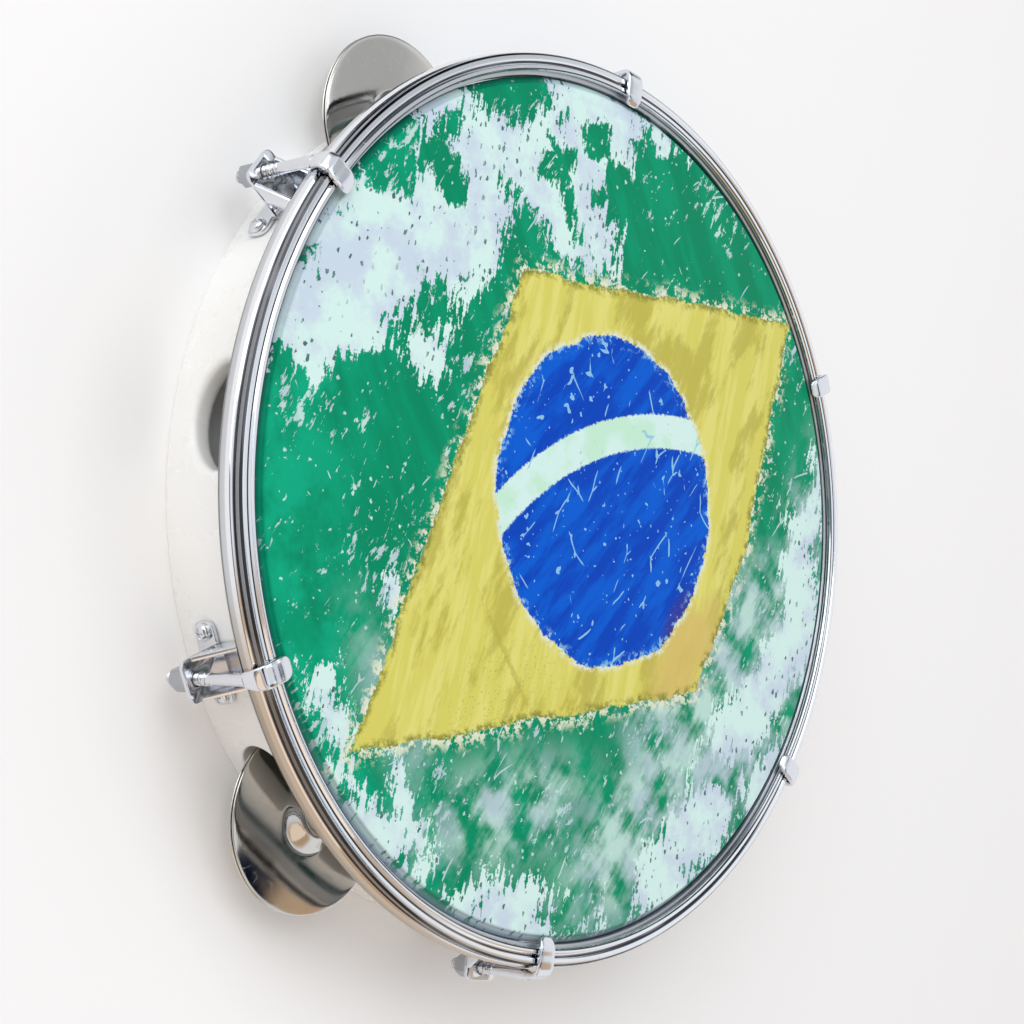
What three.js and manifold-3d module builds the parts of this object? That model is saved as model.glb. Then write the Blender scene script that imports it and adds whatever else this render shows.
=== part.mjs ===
// A twelve inch pandeiro: a lacquered wooden ring with five pairs of cupped jingles on pins, a round
// thumb hole, and a plastic head pulled down by a steel counterhoop and six nutted tension hooks.
// Millimetres, +Z towards the head. The origin is on the drum's axis, in the plane of the back edge.
import * as THREE from 'three';
import { mergeVertices } from 'three/addons/utils/BufferGeometryUtils.js';
import Module from 'manifold-3d';

const wasm = await Module();
wasm.setup();

// Clearances and facets that every piece shares
const seat = 0.3; // left between two pieces that touch
const overrun = 2; // how far a cutter reaches past what it cuts
const ringSegments = 60;
const discSegments = 18;
const smallSegments = 8;
const slotArcs = 5;
const plateArcs = 2;
const boreArcs = 4;
const fullTurn = 2 * Math.PI;

// Shell: a bent wooden ring, open at the back
const shellRadius = 146;
const shellWall = 8;
const shellDepth = 46;
const shellEdgeEase = 1.5;
const shellInnerRadius = shellRadius - shellWall;
const wallMiddle = shellRadius - shellWall / 2;

// Bays between the tension hooks: one holds the thumb hole, the others a pair of jingles each
const hookCount = 6;
const bayAngle = fullTurn / hookCount;
const thumbBay = 3;
const besideThumbLean = THREE.MathUtils.degToRad(5); // the jingles beside the thumb bay sit nearer to it

// Head: a plastic film with a sloping collar and a skirt that reaches down inside the flesh hoop
const filmThickness = 0.5;
const filmShoulder = 1.2;
const filmSkirt = 6.4;
const collarWidth = 2;
const collarDrop = 2.6;
const filmUnder = shellDepth + seat;
const filmTop = filmUnder + filmThickness;
const collarRadius = shellRadius + seat;
const skirtInnerRadius = collarRadius + collarWidth;
const skirtOuterRadius = skirtInnerRadius + filmThickness;

// Counterhoop: pressed steel, with a stepped face and a fat round bead below its neck
const crestRise = 1.3; // how far the hoop stands above the film
const flangeThickness = 2;
const flangeReach = 3.2; // of the flange over the flesh hoop
const hoopHeight = 10;
const hoopSkirtWall = 3.6;
const hoopTop = filmTop + crestRise;
const hoopBottom = hoopTop - hoopHeight;
const flangeUnder = hoopTop - flangeThickness;

// Flesh hoop: the ring that grips the film's skirt, under the counterhoop's flange
const fleshWidth = 4.5;
const fleshHeight = 6;
const fleshInnerRadius = skirtOuterRadius + seat;
const fleshOuterRadius = fleshInnerRadius + fleshWidth;
const fleshTop = flangeUnder - seat;

const hoopInnerRadius = fleshOuterRadius - flangeReach;
const hoopSkirtRadius = fleshOuterRadius + seat;
const hoopOuterRadius = hoopSkirtRadius + hoopSkirtWall;
const hoopWidth = hoopOuterRadius - hoopInnerRadius;

// The hoop's outside, from its inner lip over the crest and down to the bottom of the bead:
// each pair is a share of the hoop's width and a share of its height
const hoopFaceShares = [
  [0, 0.95],
  [0.07, 1],
  [0.26, 1],
  [0.38, 0.94],
  [0.5, 0.985],
  [0.74, 0.985],
  [0.84, 0.9],
  [0.84, 0.76],
  [0.76, 0.69],
  [0.93, 0.57],
  [1, 0.42],
  [1, 0.2],
  [0.9, 0.03],
  [0.78, 0],
];

// Jingles: cupped discs, face to face, with a flat damper disc between them
const cupRadius = 31;
const cupThickness = 0.7;
const cupHubRadius = 5;
const domeRadius = 12.5;
const domeRise = 4.2;
const flangeRise = 1.3;
const domeWaistShares = [0.6, 0.62]; // a point on the dome: share from hub to foot, share of its rise
const damperRadius = 24;
const damperThickness = 0.6;
const cupHeight = flangeRise + domeRise + cupThickness;

// Jingle pins: nails driven in from the back edge, across the slot and into the wall in front of it
const pinRadius = 1.3;
const pinHeadRadius = 2.4;
const pinHeadHeight = 0.8;
const pinRecess = 0.5;
const pinReach = 8; // into the wall in front of the slot
const jinglePlay = 0.6; // radial, between a jingle's hole and its pin

// Slots and thumb hole in the shell's wall
const slotHeight = 18;
const slotEndGap = 2.5;
const slotMiddle = 15.2;
const thumbHoleHalfLength = 17;
const thumbHoleHalfHeight = 12;
const thumbHoleMiddle = 23;
const slotHalfLength = cupRadius + slotEndGap;
const slotTop = slotMiddle + slotHeight / 2;
const slotBottom = slotMiddle - slotHeight / 2;
const jingleBore = pinRadius + jinglePlay;

// The jingles lie at the back of their slots: where each one's rim or middle is
const backRimHeight = slotBottom + seat + cupHeight;
const damperMiddle = backRimHeight + damperThickness / 2;
const frontRimHeight = backRimHeight + damperThickness;

// Tension hooks: a round rod, threaded at the back, flattened and bent over the hoop at the front
const rodRadius = 1.9;
const rodEnd = 7.5; // height of the rod's back end above the back edge
const clawHalfWidth = 3.8;
const clawHalfThickness = 0.8;
const clawReach = 3.2; // past the hoop's inner lip, over the film
const rodAxis = hoopOuterRadius + seat + rodRadius;
const clawHeight = hoopTop + seat + clawHalfThickness;
const clawTipRadius = hoopInnerRadius - clawReach;
const clawSpan = rodAxis - clawTipRadius;

// Stations along a hook, from its tip to the start of the plain rod. The first two numbers are
// shares of the claw's span outwards and of the hoop's height down from the claw; the last two are
// shares of the way from the rod's section to the claw's, in width and in thickness
const hookStationShares = [
  [0, 0.1, 0.25, 1],
  [0.1, 0.045, 0.6, 1],
  [0.25, 0, 0.95, 1],
  [0.62, 0, 1, 1],
  [0.84, 0.04, 0.95, 0.95],
  [0.96, 0.17, 0.8, 0.85],
  [1, 0.36, 0.62, 0.65],
  [1, 0.62, 0.4, 0.4],
  [1, 0.98, 0, 0],
];
const hookSectionSides = 10;
const clawSquareness = 0.6; // 0 leaves the claw's section an ellipse, 1 makes it a box

// Lugs: stamped steel brackets with an ear for the rod, two cheeks and two tabs for screws
const lugThickness = 1.5;
const lugRear = 9; // height of the lug's back end above the back edge
const lugLength = 25;
const lugHalfWidth = 7;
const tabHalfWidth = 13.5;
const tabLength = 9;
const earHeight = 19; // of the ear's back face above the back edge
const earRise = 4.6; // past the rod's axis
const earCorner = 3;
const earHoleGap = 0.35;
const cheekFrontRise = 1;
const lugFootRadius = shellRadius + seat;
const lugPlateRadius = lugFootRadius + lugThickness;

// Nuts and screws
const nutSides = 6;
const nutFlats = 7;
const nutHeight = 7.5;
const screwRadius = 1.2;
const screwReach = 5; // into the wall
const screwHeadRadius = 3;
const screwHeadHeight = 2;
const screwOffset = 10.2; // from the rod's plane
const screwHeight = lugRear + tabLength / 2;
const screwHeadShares = [
  [1, 0.3],
  [0.72, 0.8],
]; // the head's dome: shares of its radius and height

const colours = {
  lacquer: 0xf2f2ef,
  film: 0x159a6c,
  alloy: 0xb9bcc0,
  steel: 0xd8dade,
  nickel: 0xc9c6bf,
  blued: 0x8c9096,
};
const finishes = {
  lacquer: new THREE.MeshStandardMaterial({ color: colours.lacquer, roughness: 0.35, metalness: 0 }),
  film: new THREE.MeshStandardMaterial({ color: colours.film, roughness: 0.3, metalness: 0 }),
  alloy: new THREE.MeshStandardMaterial({ color: colours.alloy, roughness: 0.45, metalness: 1 }),
  chrome: new THREE.MeshStandardMaterial({ color: colours.steel, roughness: 0.12, metalness: 1 }),
  nickel: new THREE.MeshStandardMaterial({ color: colours.nickel, roughness: 0.16, metalness: 1 }),
  steel: new THREE.MeshStandardMaterial({ color: colours.blued, roughness: 0.35, metalness: 1 }),
};

// A geometry as a solid that can be joined and cut
function solidOf(geometry) {
  const bare = geometry.clone();
  bare.deleteAttribute('normal');
  bare.deleteAttribute('uv');
  const merged = mergeVertices(bare);
  return new wasm.Manifold(
    new wasm.Mesh({
      numProp: 3,
      vertProperties: merged.attributes.position.array,
      triVerts: new Uint32Array(merged.index.array),
    }),
  );
}

// A joined or cut solid as a geometry
function geometryOf(solid) {
  const mesh = solid.getMesh();
  const geometry = new THREE.BufferGeometry();
  geometry.setAttribute('position', new THREE.BufferAttribute(mesh.vertProperties, 3));
  geometry.setIndex(new THREE.BufferAttribute(mesh.triVerts, 1));
  geometry.computeVertexNormals();
  return geometry;
}

function subtractAll(solid, cutters) {
  return cutters.reduce((left, cutter) => left.subtract(solidOf(cutter)), solid);
}

// An outline of [radius, height] pairs turned about the Z axis
function revolve(outline, segments) {
  const points = outline.map(([radius, height]) => new THREE.Vector2(radius, height));
  return new THREE.LatheGeometry(points, segments).rotateX(Math.PI / 2);
}

// A closed ring section turned about the Z axis: the outline's first point is repeated at its end
function revolveRing(outline, segments) {
  return revolve([...outline, outline[0]], segments);
}

// A plain rod along Z, from one height to another
function rod(radius, from, to, segments) {
  return revolve([[0, from], [radius, from], [radius, to], [0, to]], segments);
}

// A flat shape given a thickness along Z, from one height to another
function slab(shape, from, to, curveSegments = plateArcs) {
  const options = { depth: to - from, bevelEnabled: false, curveSegments };
  return new THREE.ExtrudeGeometry(shape, options).translate(0, 0, from);
}

// Turns a geometry made along Z so that it points out along the drum's radius at azimuth 0
function alongRadius(geometry) {
  return geometry.rotateY(Math.PI / 2);
}

function hookAzimuth(index) {
  return index * bayAngle;
}

function bayAzimuth(index) {
  const beside = Math.abs(thumbBay - index) === 1;
  const lean = beside ? (thumbBay - index) * besideThumbLean : 0;
  return (index + 0.5) * bayAngle + lean;
}

// How far out the inner wall is, measured along azimuth 0, at some way to the side
function innerWallAt(sideways) {
  return Math.sqrt(shellInnerRadius ** 2 - sideways ** 2);
}

// A straight-sided opening with round ends, cut through the wall at azimuth 0
function slotCutter() {
  const endRadius = slotHeight / 2;
  const straight = slotHalfLength - endRadius;
  const shape = new THREE.Shape();
  shape.absarc(0, straight, endRadius, 0, Math.PI, false);
  shape.absarc(0, -straight, endRadius, Math.PI, fullTurn, false);
  const from = innerWallAt(slotHalfLength) - overrun;
  const cutter = slab(shape, from, shellRadius + overrun, slotArcs);
  return alongRadius(cutter).translate(0, 0, slotMiddle);
}

// An oval hole, cut through the wall at azimuth 0
function thumbHoleCutter() {
  const shape = new THREE.Shape();
  shape.absellipse(0, 0, thumbHoleHalfHeight, thumbHoleHalfLength, 0, fullTurn, false);
  const from = innerWallAt(thumbHoleHalfLength) - overrun;
  const cutter = slab(shape, from, shellRadius + overrun, 2 * slotArcs);
  return alongRadius(cutter).translate(0, 0, thumbHoleMiddle);
}

// The pin's hole at azimuth 0, with a recess for its head in the back edge
function pinCutter() {
  const hole = pinRadius + seat;
  const recess = pinHeadRadius + seat;
  const recessTop = pinRecess + pinHeadHeight + seat;
  const outline = [
    [0, -overrun],
    [recess, -overrun],
    [recess, recessTop],
    [hole, recessTop],
    [hole, slotTop + pinReach + seat],
    [0, slotTop + pinReach + seat],
  ];
  return revolve(outline, smallSegments).translate(wallMiddle, 0, 0);
}

// The holes for one lug's two screws, at azimuth 0
function screwCutters() {
  const radius = screwRadius + seat;
  const from = shellRadius - screwReach - seat;
  return screwAngles().map((angle) =>
    alongRadius(rod(radius, from, lugPlateRadius + overrun, smallSegments))
      .translate(0, 0, screwHeight)
      .rotateZ(angle),
  );
}

function screwAngles() {
  const angle = Math.asin(screwOffset / shellRadius);
  return [-angle, angle];
}

function shellGeometry() {
  const ease = shellEdgeEase;
  const ring = revolveRing(
    [
      [shellInnerRadius, 0],
      [shellRadius, 0],
      [shellRadius, shellDepth - ease],
      [shellRadius - ease, shellDepth],
      [shellInnerRadius + ease, shellDepth],
      [shellInnerRadius, shellDepth - ease],
    ],
    ringSegments,
  );
  const cutters = [];
  for (let bay = 0; bay < hookCount; bay += 1) {
    const bayCutters = bay === thumbBay ? [thumbHoleCutter()] : [slotCutter(), pinCutter()];
    cutters.push(...bayCutters.map((cutter) => cutter.rotateZ(bayAzimuth(bay))));
    cutters.push(...screwCutters().map((cutter) => cutter.rotateZ(hookAzimuth(bay))));
  }
  return geometryOf(subtractAll(solidOf(ring), cutters));
}

function filmGeometry() {
  return revolve(
    [
      [0, filmUnder],
      [collarRadius - filmShoulder, filmUnder],
      [collarRadius, filmUnder - filmShoulder],
      [skirtInnerRadius, filmUnder - collarDrop],
      [skirtInnerRadius, filmTop - filmSkirt],
      [skirtOuterRadius, filmTop - filmSkirt],
      [skirtOuterRadius, filmTop - collarDrop],
      [collarRadius + filmThickness, filmTop - filmShoulder],
      [collarRadius, filmTop],
      [0, filmTop],
    ],
    ringSegments,
  );
}

function fleshHoopGeometry() {
  const bottom = fleshTop - fleshHeight;
  return revolveRing(
    [
      [fleshInnerRadius, bottom],
      [fleshOuterRadius, bottom],
      [fleshOuterRadius, fleshTop],
      [fleshInnerRadius, fleshTop],
    ],
    ringSegments,
  );
}

function counterhoopGeometry() {
  const face = hoopFaceShares.map(([across, up]) => [
    hoopInnerRadius + across * hoopWidth,
    hoopBottom + up * hoopHeight,
  ]);
  const inside = [
    [hoopSkirtRadius, hoopBottom],
    [hoopSkirtRadius, flangeUnder],
    [hoopInnerRadius, flangeUnder],
  ];
  return revolveRing([...face, ...inside].reverse(), ringSegments);
}

// A jingle with its rim in the plane Z = 0 and its dome above it
function cupGeometry() {
  const foot = flangeRise;
  const crown = flangeRise + domeRise;
  const [waistShare, waistRiseShare] = domeWaistShares;
  const waist = cupHubRadius + waistShare * (domeRadius - cupHubRadius);
  const hollow = [
    [jingleBore, crown],
    [cupHubRadius, crown],
    [waist, foot + waistRiseShare * domeRise],
    [domeRadius, foot],
    [cupRadius, 0],
  ];
  const outside = hollow.map(([radius, height]) => [radius, height + cupThickness]).reverse();
  return revolveRing([...hollow, ...outside], discSegments);
}

function damperGeometry() {
  const half = damperThickness / 2;
  return revolveRing(
    [
      [jingleBore, -half],
      [damperRadius, -half],
      [damperRadius, half],
      [jingleBore, half],
    ],
    discSegments,
  );
}

function pinGeometry() {
  const headTop = pinRecess + pinHeadHeight;
  return revolve(
    [
      [0, pinRecess],
      [pinHeadRadius, pinRecess],
      [pinHeadRadius, headTop],
      [pinRadius, headTop],
      [pinRadius, slotTop + pinReach],
      [0, slotTop + pinReach],
    ],
    smallSegments,
  );
}

// One ring of points round a hook: flat where the claw is, round where the rod is
function hookSection(centre, outward, halfWidth, halfThickness, flatness) {
  const ring = [];
  for (let side = 0; side < hookSectionSides; side += 1) {
    const angle = ((side + 0.5) / hookSectionSides) * fullTurn;
    const round = [Math.cos(angle), Math.sin(angle)];
    const power = 1 - clawSquareness * flatness;
    const square = round.map((value) => Math.sign(value) * Math.abs(value) ** power);
    const point = centre.clone();
    point.addScaledVector(outward, square[1] * halfThickness);
    point.y += square[0] * halfWidth;
    ring.push(point);
  }
  return ring;
}

// A closed skin over rings of points that all have the same count
function skinOver(rings) {
  const positions = [];
  const faces = [];
  const count = rings[0].length;
  rings.flat().forEach((point) => positions.push(point.x, point.y, point.z));
  for (let row = 0; row + 1 < rings.length; row += 1) {
    for (let side = 0; side < count; side += 1) {
      const next = (side + 1) % count;
      const [a, b] = [row * count + side, row * count + next];
      faces.push(a, b, b + count, a, b + count, a + count);
    }
  }
  const last = (rings.length - 1) * count;
  for (let side = 1; side + 1 < count; side += 1) {
    faces.push(0, side + 1, side);
    faces.push(last, last + side, last + side + 1);
  }
  const geometry = new THREE.BufferGeometry();
  geometry.setAttribute('position', new THREE.Float32BufferAttribute(positions, 3));
  geometry.setIndex(faces);
  geometry.computeVertexNormals();
  return geometry;
}

function hookGeometry() {
  const stations = hookStationShares.map(([out, down, wide, flat]) => ({
    centre: new THREE.Vector3(clawTipRadius + out * clawSpan, 0, clawHeight - down * hoopHeight),
    halfWidth: rodRadius + wide * (clawHalfWidth - rodRadius),
    halfThickness: rodRadius + flat * (clawHalfThickness - rodRadius),
    flatness: flat,
  }));
  const end = new THREE.Vector3(rodAxis, 0, rodEnd);
  stations.push({ centre: end, halfWidth: rodRadius, halfThickness: rodRadius, flatness: 0 });
  const rings = stations.map(({ centre, halfWidth, halfThickness, flatness }, index) => {
    const before = stations[Math.max(index - 1, 0)].centre;
    const after = stations[Math.min(index + 1, stations.length - 1)].centre;
    const along = after.clone().sub(before).normalize();
    const outward = new THREE.Vector3(-along.z, 0, along.x);
    return hookSection(centre, outward, halfWidth, halfThickness, flatness);
  });
  return skinOver(rings);
}

// A curved plate that lies on the shell's outside, centred on azimuth 0
function footPlate(halfWidth, from, to) {
  const angle = Math.asin(halfWidth / shellRadius);
  const shape = new THREE.Shape();
  shape.absarc(0, 0, lugPlateRadius, -angle, angle, false);
  shape.absarc(0, 0, lugFootRadius, angle, -angle, true);
  return slab(shape, from, to);
}

function earPlate() {
  const top = rodAxis + earRise;
  const shape = new THREE.Shape();
  shape.moveTo(lugFootRadius, -lugHalfWidth);
  shape.lineTo(top - earCorner, -lugHalfWidth);
  shape.absarc(top - earCorner, earCorner - lugHalfWidth, earCorner, -Math.PI / 2, 0, false);
  shape.absarc(top - earCorner, lugHalfWidth - earCorner, earCorner, 0, Math.PI / 2, false);
  shape.lineTo(lugFootRadius, lugHalfWidth);
  const hole = new THREE.Path();
  hole.absarc(rodAxis, 0, rodRadius + earHoleGap, 0, fullTurn, true);
  shape.holes.push(hole);
  return slab(shape, earHeight, earHeight + lugThickness, boreArcs);
}

// A three-cornered web between the ear and the foot, on one side of the lug
function cheek(side) {
  const shape = new THREE.Shape();
  shape.moveTo(lugFootRadius, earHeight);
  shape.lineTo(rodAxis, earHeight);
  shape.lineTo(rodAxis, earHeight + lugThickness);
  shape.lineTo(lugPlateRadius + cheekFrontRise, lugRear + lugLength);
  shape.lineTo(lugFootRadius, lugRear + lugLength);
  const web = slab(shape, 0, lugThickness).rotateX(Math.PI / 2);
  return web.translate(0, side > 0 ? lugHalfWidth : lugThickness - lugHalfWidth, 0);
}

function lugGeometry() {
  const foot = solidOf(footPlate(lugHalfWidth, lugRear, lugRear + lugLength));
  const tabs = solidOf(footPlate(tabHalfWidth, lugRear, lugRear + tabLength));
  const joined = foot
    .add(tabs)
    .add(solidOf(earPlate()))
    .add(solidOf(cheek(1)))
    .add(solidOf(cheek(-1)));
  return geometryOf(subtractAll(joined, screwCutters()));
}

function nutGeometry() {
  const corner = nutFlats / 2 / Math.cos(Math.PI / nutSides);
  const corners = Array.from({ length: nutSides }, (_, side) => {
    const angle = (side / nutSides) * fullTurn;
    return new THREE.Vector2(corner * Math.cos(angle), corner * Math.sin(angle));
  });
  const shape = new THREE.Shape(corners);
  const bore = new THREE.Path();
  bore.absarc(0, 0, rodRadius + seat, 0, fullTurn, true);
  shape.holes.push(bore);
  const top = earHeight - seat;
  return slab(shape, top - nutHeight, top, boreArcs).translate(rodAxis, 0, 0);
}

// A round-headed screw at azimuth 0, pointing into the wall
function screwGeometry() {
  const base = lugPlateRadius + seat;
  const dome = screwHeadShares.map(([out, up]) => [out * screwHeadRadius, base + up * screwHeadHeight]);
  const outline = [
    [0, shellRadius - screwReach],
    [screwRadius, shellRadius - screwReach],
    [screwRadius, base],
    [screwHeadRadius, base],
    ...dome,
    [0, base + screwHeadHeight],
  ];
  return alongRadius(revolve(outline, smallSegments)).translate(0, 0, screwHeight);
}

function named(name, geometry, material) {
  const mesh = new THREE.Mesh(geometry, material);
  mesh.name = name;
  return mesh;
}

// Everything at one tension hook, turned to its azimuth
function tensioner(index) {
  const number = index + 1;
  const group = new THREE.Group();
  group.add(named(`tension_hook_${number}`, hookGeometry(), finishes.chrome));
  group.add(named(`tension_nut_${number}`, nutGeometry(), finishes.steel));
  group.add(named(`lug_${number}`, lugGeometry(), finishes.chrome));
  screwAngles().forEach((angle, side) => {
    const screw = named(`lug_screw_${number}${'ab'[side]}`, screwGeometry(), finishes.chrome);
    screw.rotation.z = angle;
    group.add(screw);
  });
  group.rotation.z = hookAzimuth(index);
  return group;
}

// A pin with its two jingles and the damper disc between them, turned to the bay's azimuth
function jingleSet(number, bay) {
  const group = new THREE.Group();
  const pin = named(`jingle_pin_${number}`, pinGeometry(), finishes.steel);
  const front = named(`jingle_front_${number}`, cupGeometry(), finishes.nickel);
  const back = named(`jingle_back_${number}`, cupGeometry(), finishes.nickel);
  const damper = named(`damper_disc_${number}`, damperGeometry(), finishes.nickel);
  front.position.z = frontRimHeight;
  back.position.z = backRimHeight;
  back.rotation.x = Math.PI;
  damper.position.z = damperMiddle;
  const stack = new THREE.Group();
  stack.add(pin, front, back, damper);
  stack.position.x = wallMiddle;
  group.add(stack);
  group.rotation.z = bayAzimuth(bay);
  return group;
}

const pandeiro = new THREE.Group();
pandeiro.add(named('shell', shellGeometry(), finishes.lacquer));
pandeiro.add(named('drumhead', filmGeometry(), finishes.film));
pandeiro.add(named('flesh_hoop', fleshHoopGeometry(), finishes.alloy));
pandeiro.add(named('counterhoop', counterhoopGeometry(), finishes.chrome));
for (let index = 0; index < hookCount; index += 1) pandeiro.add(tensioner(index));
const jingleBays = Array.from({ length: hookCount }, (_, bay) => bay).filter((bay) => bay !== thumbBay);
jingleBays.forEach((bay, index) => pandeiro.add(jingleSet(index + 1, bay)));

export default pandeiro;
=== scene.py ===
"""A pandeiro dressed for rendering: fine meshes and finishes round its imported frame.

The drum lies with its back edge on the floor, head up, its axis on Z. Lengths are in metres, and
the named sizes are given in millimetres times MM. The print and the camera are placed in a frame
turned about the axis by PRINT_TURN, in which the camera stands to the left of the drum.
"""

import logging
import math
from collections.abc import Callable, Sequence
from dataclasses import dataclass, field
from enum import Enum
from functools import reduce

import bmesh
import bpy
import numpy as np
from mathutils import Matrix, Vector


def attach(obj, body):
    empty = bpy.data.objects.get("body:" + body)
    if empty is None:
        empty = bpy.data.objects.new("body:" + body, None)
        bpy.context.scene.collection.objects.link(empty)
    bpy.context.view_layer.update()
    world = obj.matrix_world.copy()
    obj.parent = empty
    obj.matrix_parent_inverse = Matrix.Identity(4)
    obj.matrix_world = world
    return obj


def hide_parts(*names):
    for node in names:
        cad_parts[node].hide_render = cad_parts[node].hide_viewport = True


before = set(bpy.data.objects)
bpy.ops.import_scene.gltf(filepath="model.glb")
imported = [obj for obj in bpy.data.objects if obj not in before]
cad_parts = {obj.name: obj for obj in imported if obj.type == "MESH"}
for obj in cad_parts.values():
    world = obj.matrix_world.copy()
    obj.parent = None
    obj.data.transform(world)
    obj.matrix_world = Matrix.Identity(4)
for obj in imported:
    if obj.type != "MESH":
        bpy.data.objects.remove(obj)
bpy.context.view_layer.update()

LOG = logging.getLogger("pandeiro")
MM = 0.001
FULL_TURN = 2 * math.pi
PRINT_TURN = math.radians(41.5)
HOOK_COUNT = 6
HOOK_STEP = 360 / HOOK_COUNT
JINGLE_AZIMUTHS = {1: 30.0, 2: 90.0, 3: 155.0, 4: 265.0, 5: 330.0}
THUMB_HOLE_AZIMUTH = 210.0
SHELL_RADIUS = 146 * MM
ROD_AXIS = 159.7 * MM
SHARP_ANGLE = math.radians(38)
STRAIGHT_WITHIN = math.radians(2)
SEAM_GAP = 2e-6
PLATE_GAP = 1e-6
DRUM_BODY = "drum"
SPUN_UV = "spun"

Point = tuple[float, float]
Spot = tuple[float, float, float]
Colour = tuple[float, float, float, float]
Mesh = bpy.types.Mesh
Material = bpy.types.Material


class Slot(Enum):
    """The record's material slots."""

    SHELL = "lacquered_shell"
    FILM = "printed_film"
    FLESH = "flesh_alloy"
    HOOP = "hoop_chrome"
    HARDWARE = "hardware_chrome"
    SCREW = "screw_chrome"
    NUT = "nut_steel"
    JINGLE = "jingle_nickel"
    DAMPER = "damper_steel"
    PIN = "pin_steel"


class Facing(Enum):
    """Which way a jingle's dome points along the drum's axis."""

    HEAD = 1
    BACK = -1


def srgb(red: int, green: int, blue: int) -> Colour:
    """A screen colour from 0 to 255 as the linear colour that a socket takes.

    Args:
        red: its red.
        green: its green.
        blue: its blue.

    Returns:
        The linear colour, opaque.
    """
    shares = [value / 255 for value in (red, green, blue)]
    linear = [s / 12.92 if s <= 0.04045 else ((s + 0.055) / 1.055) ** 2.4 for s in shares]
    return (*linear, 1.0)


# Meshes


def rounded(corners: Sequence[Spot], steps: int = 4) -> list[Point]:
    """Rounds the corners of a closed outline.

    Args:
        corners: each corner's two coordinates and the radius that rounds it.
        steps: how many straight pieces stand for one rounded corner.

    Returns:
        The outline's points, in the corners' order.
    """
    made: list[Point] = []
    for index, (x, y, radius) in enumerate(corners):
        here = Vector((x, y))
        before = Vector(corners[index - 1][:2]) - here
        after = Vector(corners[(index + 1) % len(corners)][:2]) - here
        angle = before.angle(after)
        reach = min(radius / math.tan(angle / 2), 0.49 * before.length, 0.49 * after.length)
        if reach <= 0 or abs(math.pi - angle) < STRAIGHT_WITHIN:
            made.append((x, y))
            continue
        start = here + before.normalized() * reach
        end = here + after.normalized() * reach
        for share in (step / steps for step in range(steps + 1)):
            point = start * (1 - share) ** 2 + here * 2 * share * (1 - share) + end * share**2
            made.append((point.x, point.y))
    return made


def rounded_box(low: Point, high: Point, corner: float, steps: int = 4) -> list[Point]:
    """A rectangle's outline between two of its corners, all four rounded alike."""
    (x0, y0), (x1, y1) = low, high
    return rounded([(x, y, corner) for x, y in ((x0, y0), (x1, y0), (x1, y1), (x0, y1))], steps)


def tidied(mesh: Mesh, gap: float = 1e-7) -> Mesh:
    """Merges a closed mesh's doubles and turns its faces outwards.

    Args:
        mesh: the closed mesh.
        gap: how near two points count as one.

    Returns:
        The same mesh.
    """
    work = bmesh.new()
    work.from_mesh(mesh)
    bmesh.ops.remove_doubles(work, verts=work.verts, dist=gap)
    bmesh.ops.dissolve_degenerate(work, edges=work.edges, dist=gap)
    bmesh.ops.recalc_face_normals(work, faces=work.faces)
    work.to_mesh(mesh)
    work.free()
    return mesh


def raw_mesh(name: str, points: Sequence[Spot], faces: Sequence[Sequence[int]]) -> Mesh:
    """A mesh of points and faces as they are.

    Args:
        name: the mesh's name.
        points: each point's place.
        faces: the points of each face, by number.

    Returns:
        The mesh.
    """
    mesh = bpy.data.meshes.new(name)
    mesh.from_pydata(points, [], faces)
    return mesh


def mesh_of(name: str, points: np.ndarray, faces: Sequence[Sequence[int]]) -> Mesh:
    """A mesh whose doubles are merged and whose faces point outwards."""
    return tidied(raw_mesh(name, points.tolist(), faces))


def grid_faces(rows: int, columns: int, wrap_rows: bool, wrap_columns: bool) -> list[tuple[int, ...]]:
    """The quads of a grid of points that are numbered row by row.

    Args:
        rows: how many rows of points there are.
        columns: how many points a row has.
        wrap_rows: whether the last row joins the first.
        wrap_columns: whether the end of a row joins its start.

    Returns:
        The points of each quad, by number.
    """
    faces = []
    for row in range(rows if wrap_rows else rows - 1):
        low, high = row * columns, (row + 1) % rows * columns
        for column in range(columns if wrap_columns else columns - 1):
            side = (column + 1) % columns
            faces.append((low + column, low + side, high + side, high + column))
    return faces


def revolved(name: str, outline: Sequence[Point], segments: int) -> Mesh:
    """Turns a closed outline of (radius, height) about Z. Points on the axis become one pole.

    Args:
        name: the mesh's name.
        outline: the outline's points.
        segments: how many flats stand for a full turn.

    Returns:
        The closed mesh.
    """
    angles = np.arange(segments) * FULL_TURN / segments
    rings = [
        np.stack([radius * np.cos(angles), radius * np.sin(angles), np.full(segments, height)], 1)
        for radius, height in outline
    ]
    faces = grid_faces(len(outline), segments, wrap_rows=True, wrap_columns=True)
    on_axis = {row for row, (radius, _) in enumerate(outline) if radius < 1e-9}
    faces = [face for face in faces if not {face[0] // segments, face[2] // segments} <= on_axis]
    return mesh_of(name, np.concatenate(rings), faces)


def lofted(name: str, rings: Sequence[np.ndarray]) -> Mesh:
    """A closed skin over rings of points with one count, capped by a fan at each end.

    Args:
        name: the mesh's name.
        rings: each ring's points, in order.

    Returns:
        The closed mesh.
    """
    count = len(rings[0])
    points = np.concatenate([*rings, rings[0].mean(0)[None], rings[-1].mean(0)[None]])
    faces = grid_faces(len(rings), count, wrap_rows=False, wrap_columns=True)
    first, top = len(rings) * count, (len(rings) - 1) * count
    for side in range(count):
        after = (side + 1) % count
        faces += [(side, after, first), (top + side, top + after, first + 1)]
    return mesh_of(name, points, faces)


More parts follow.
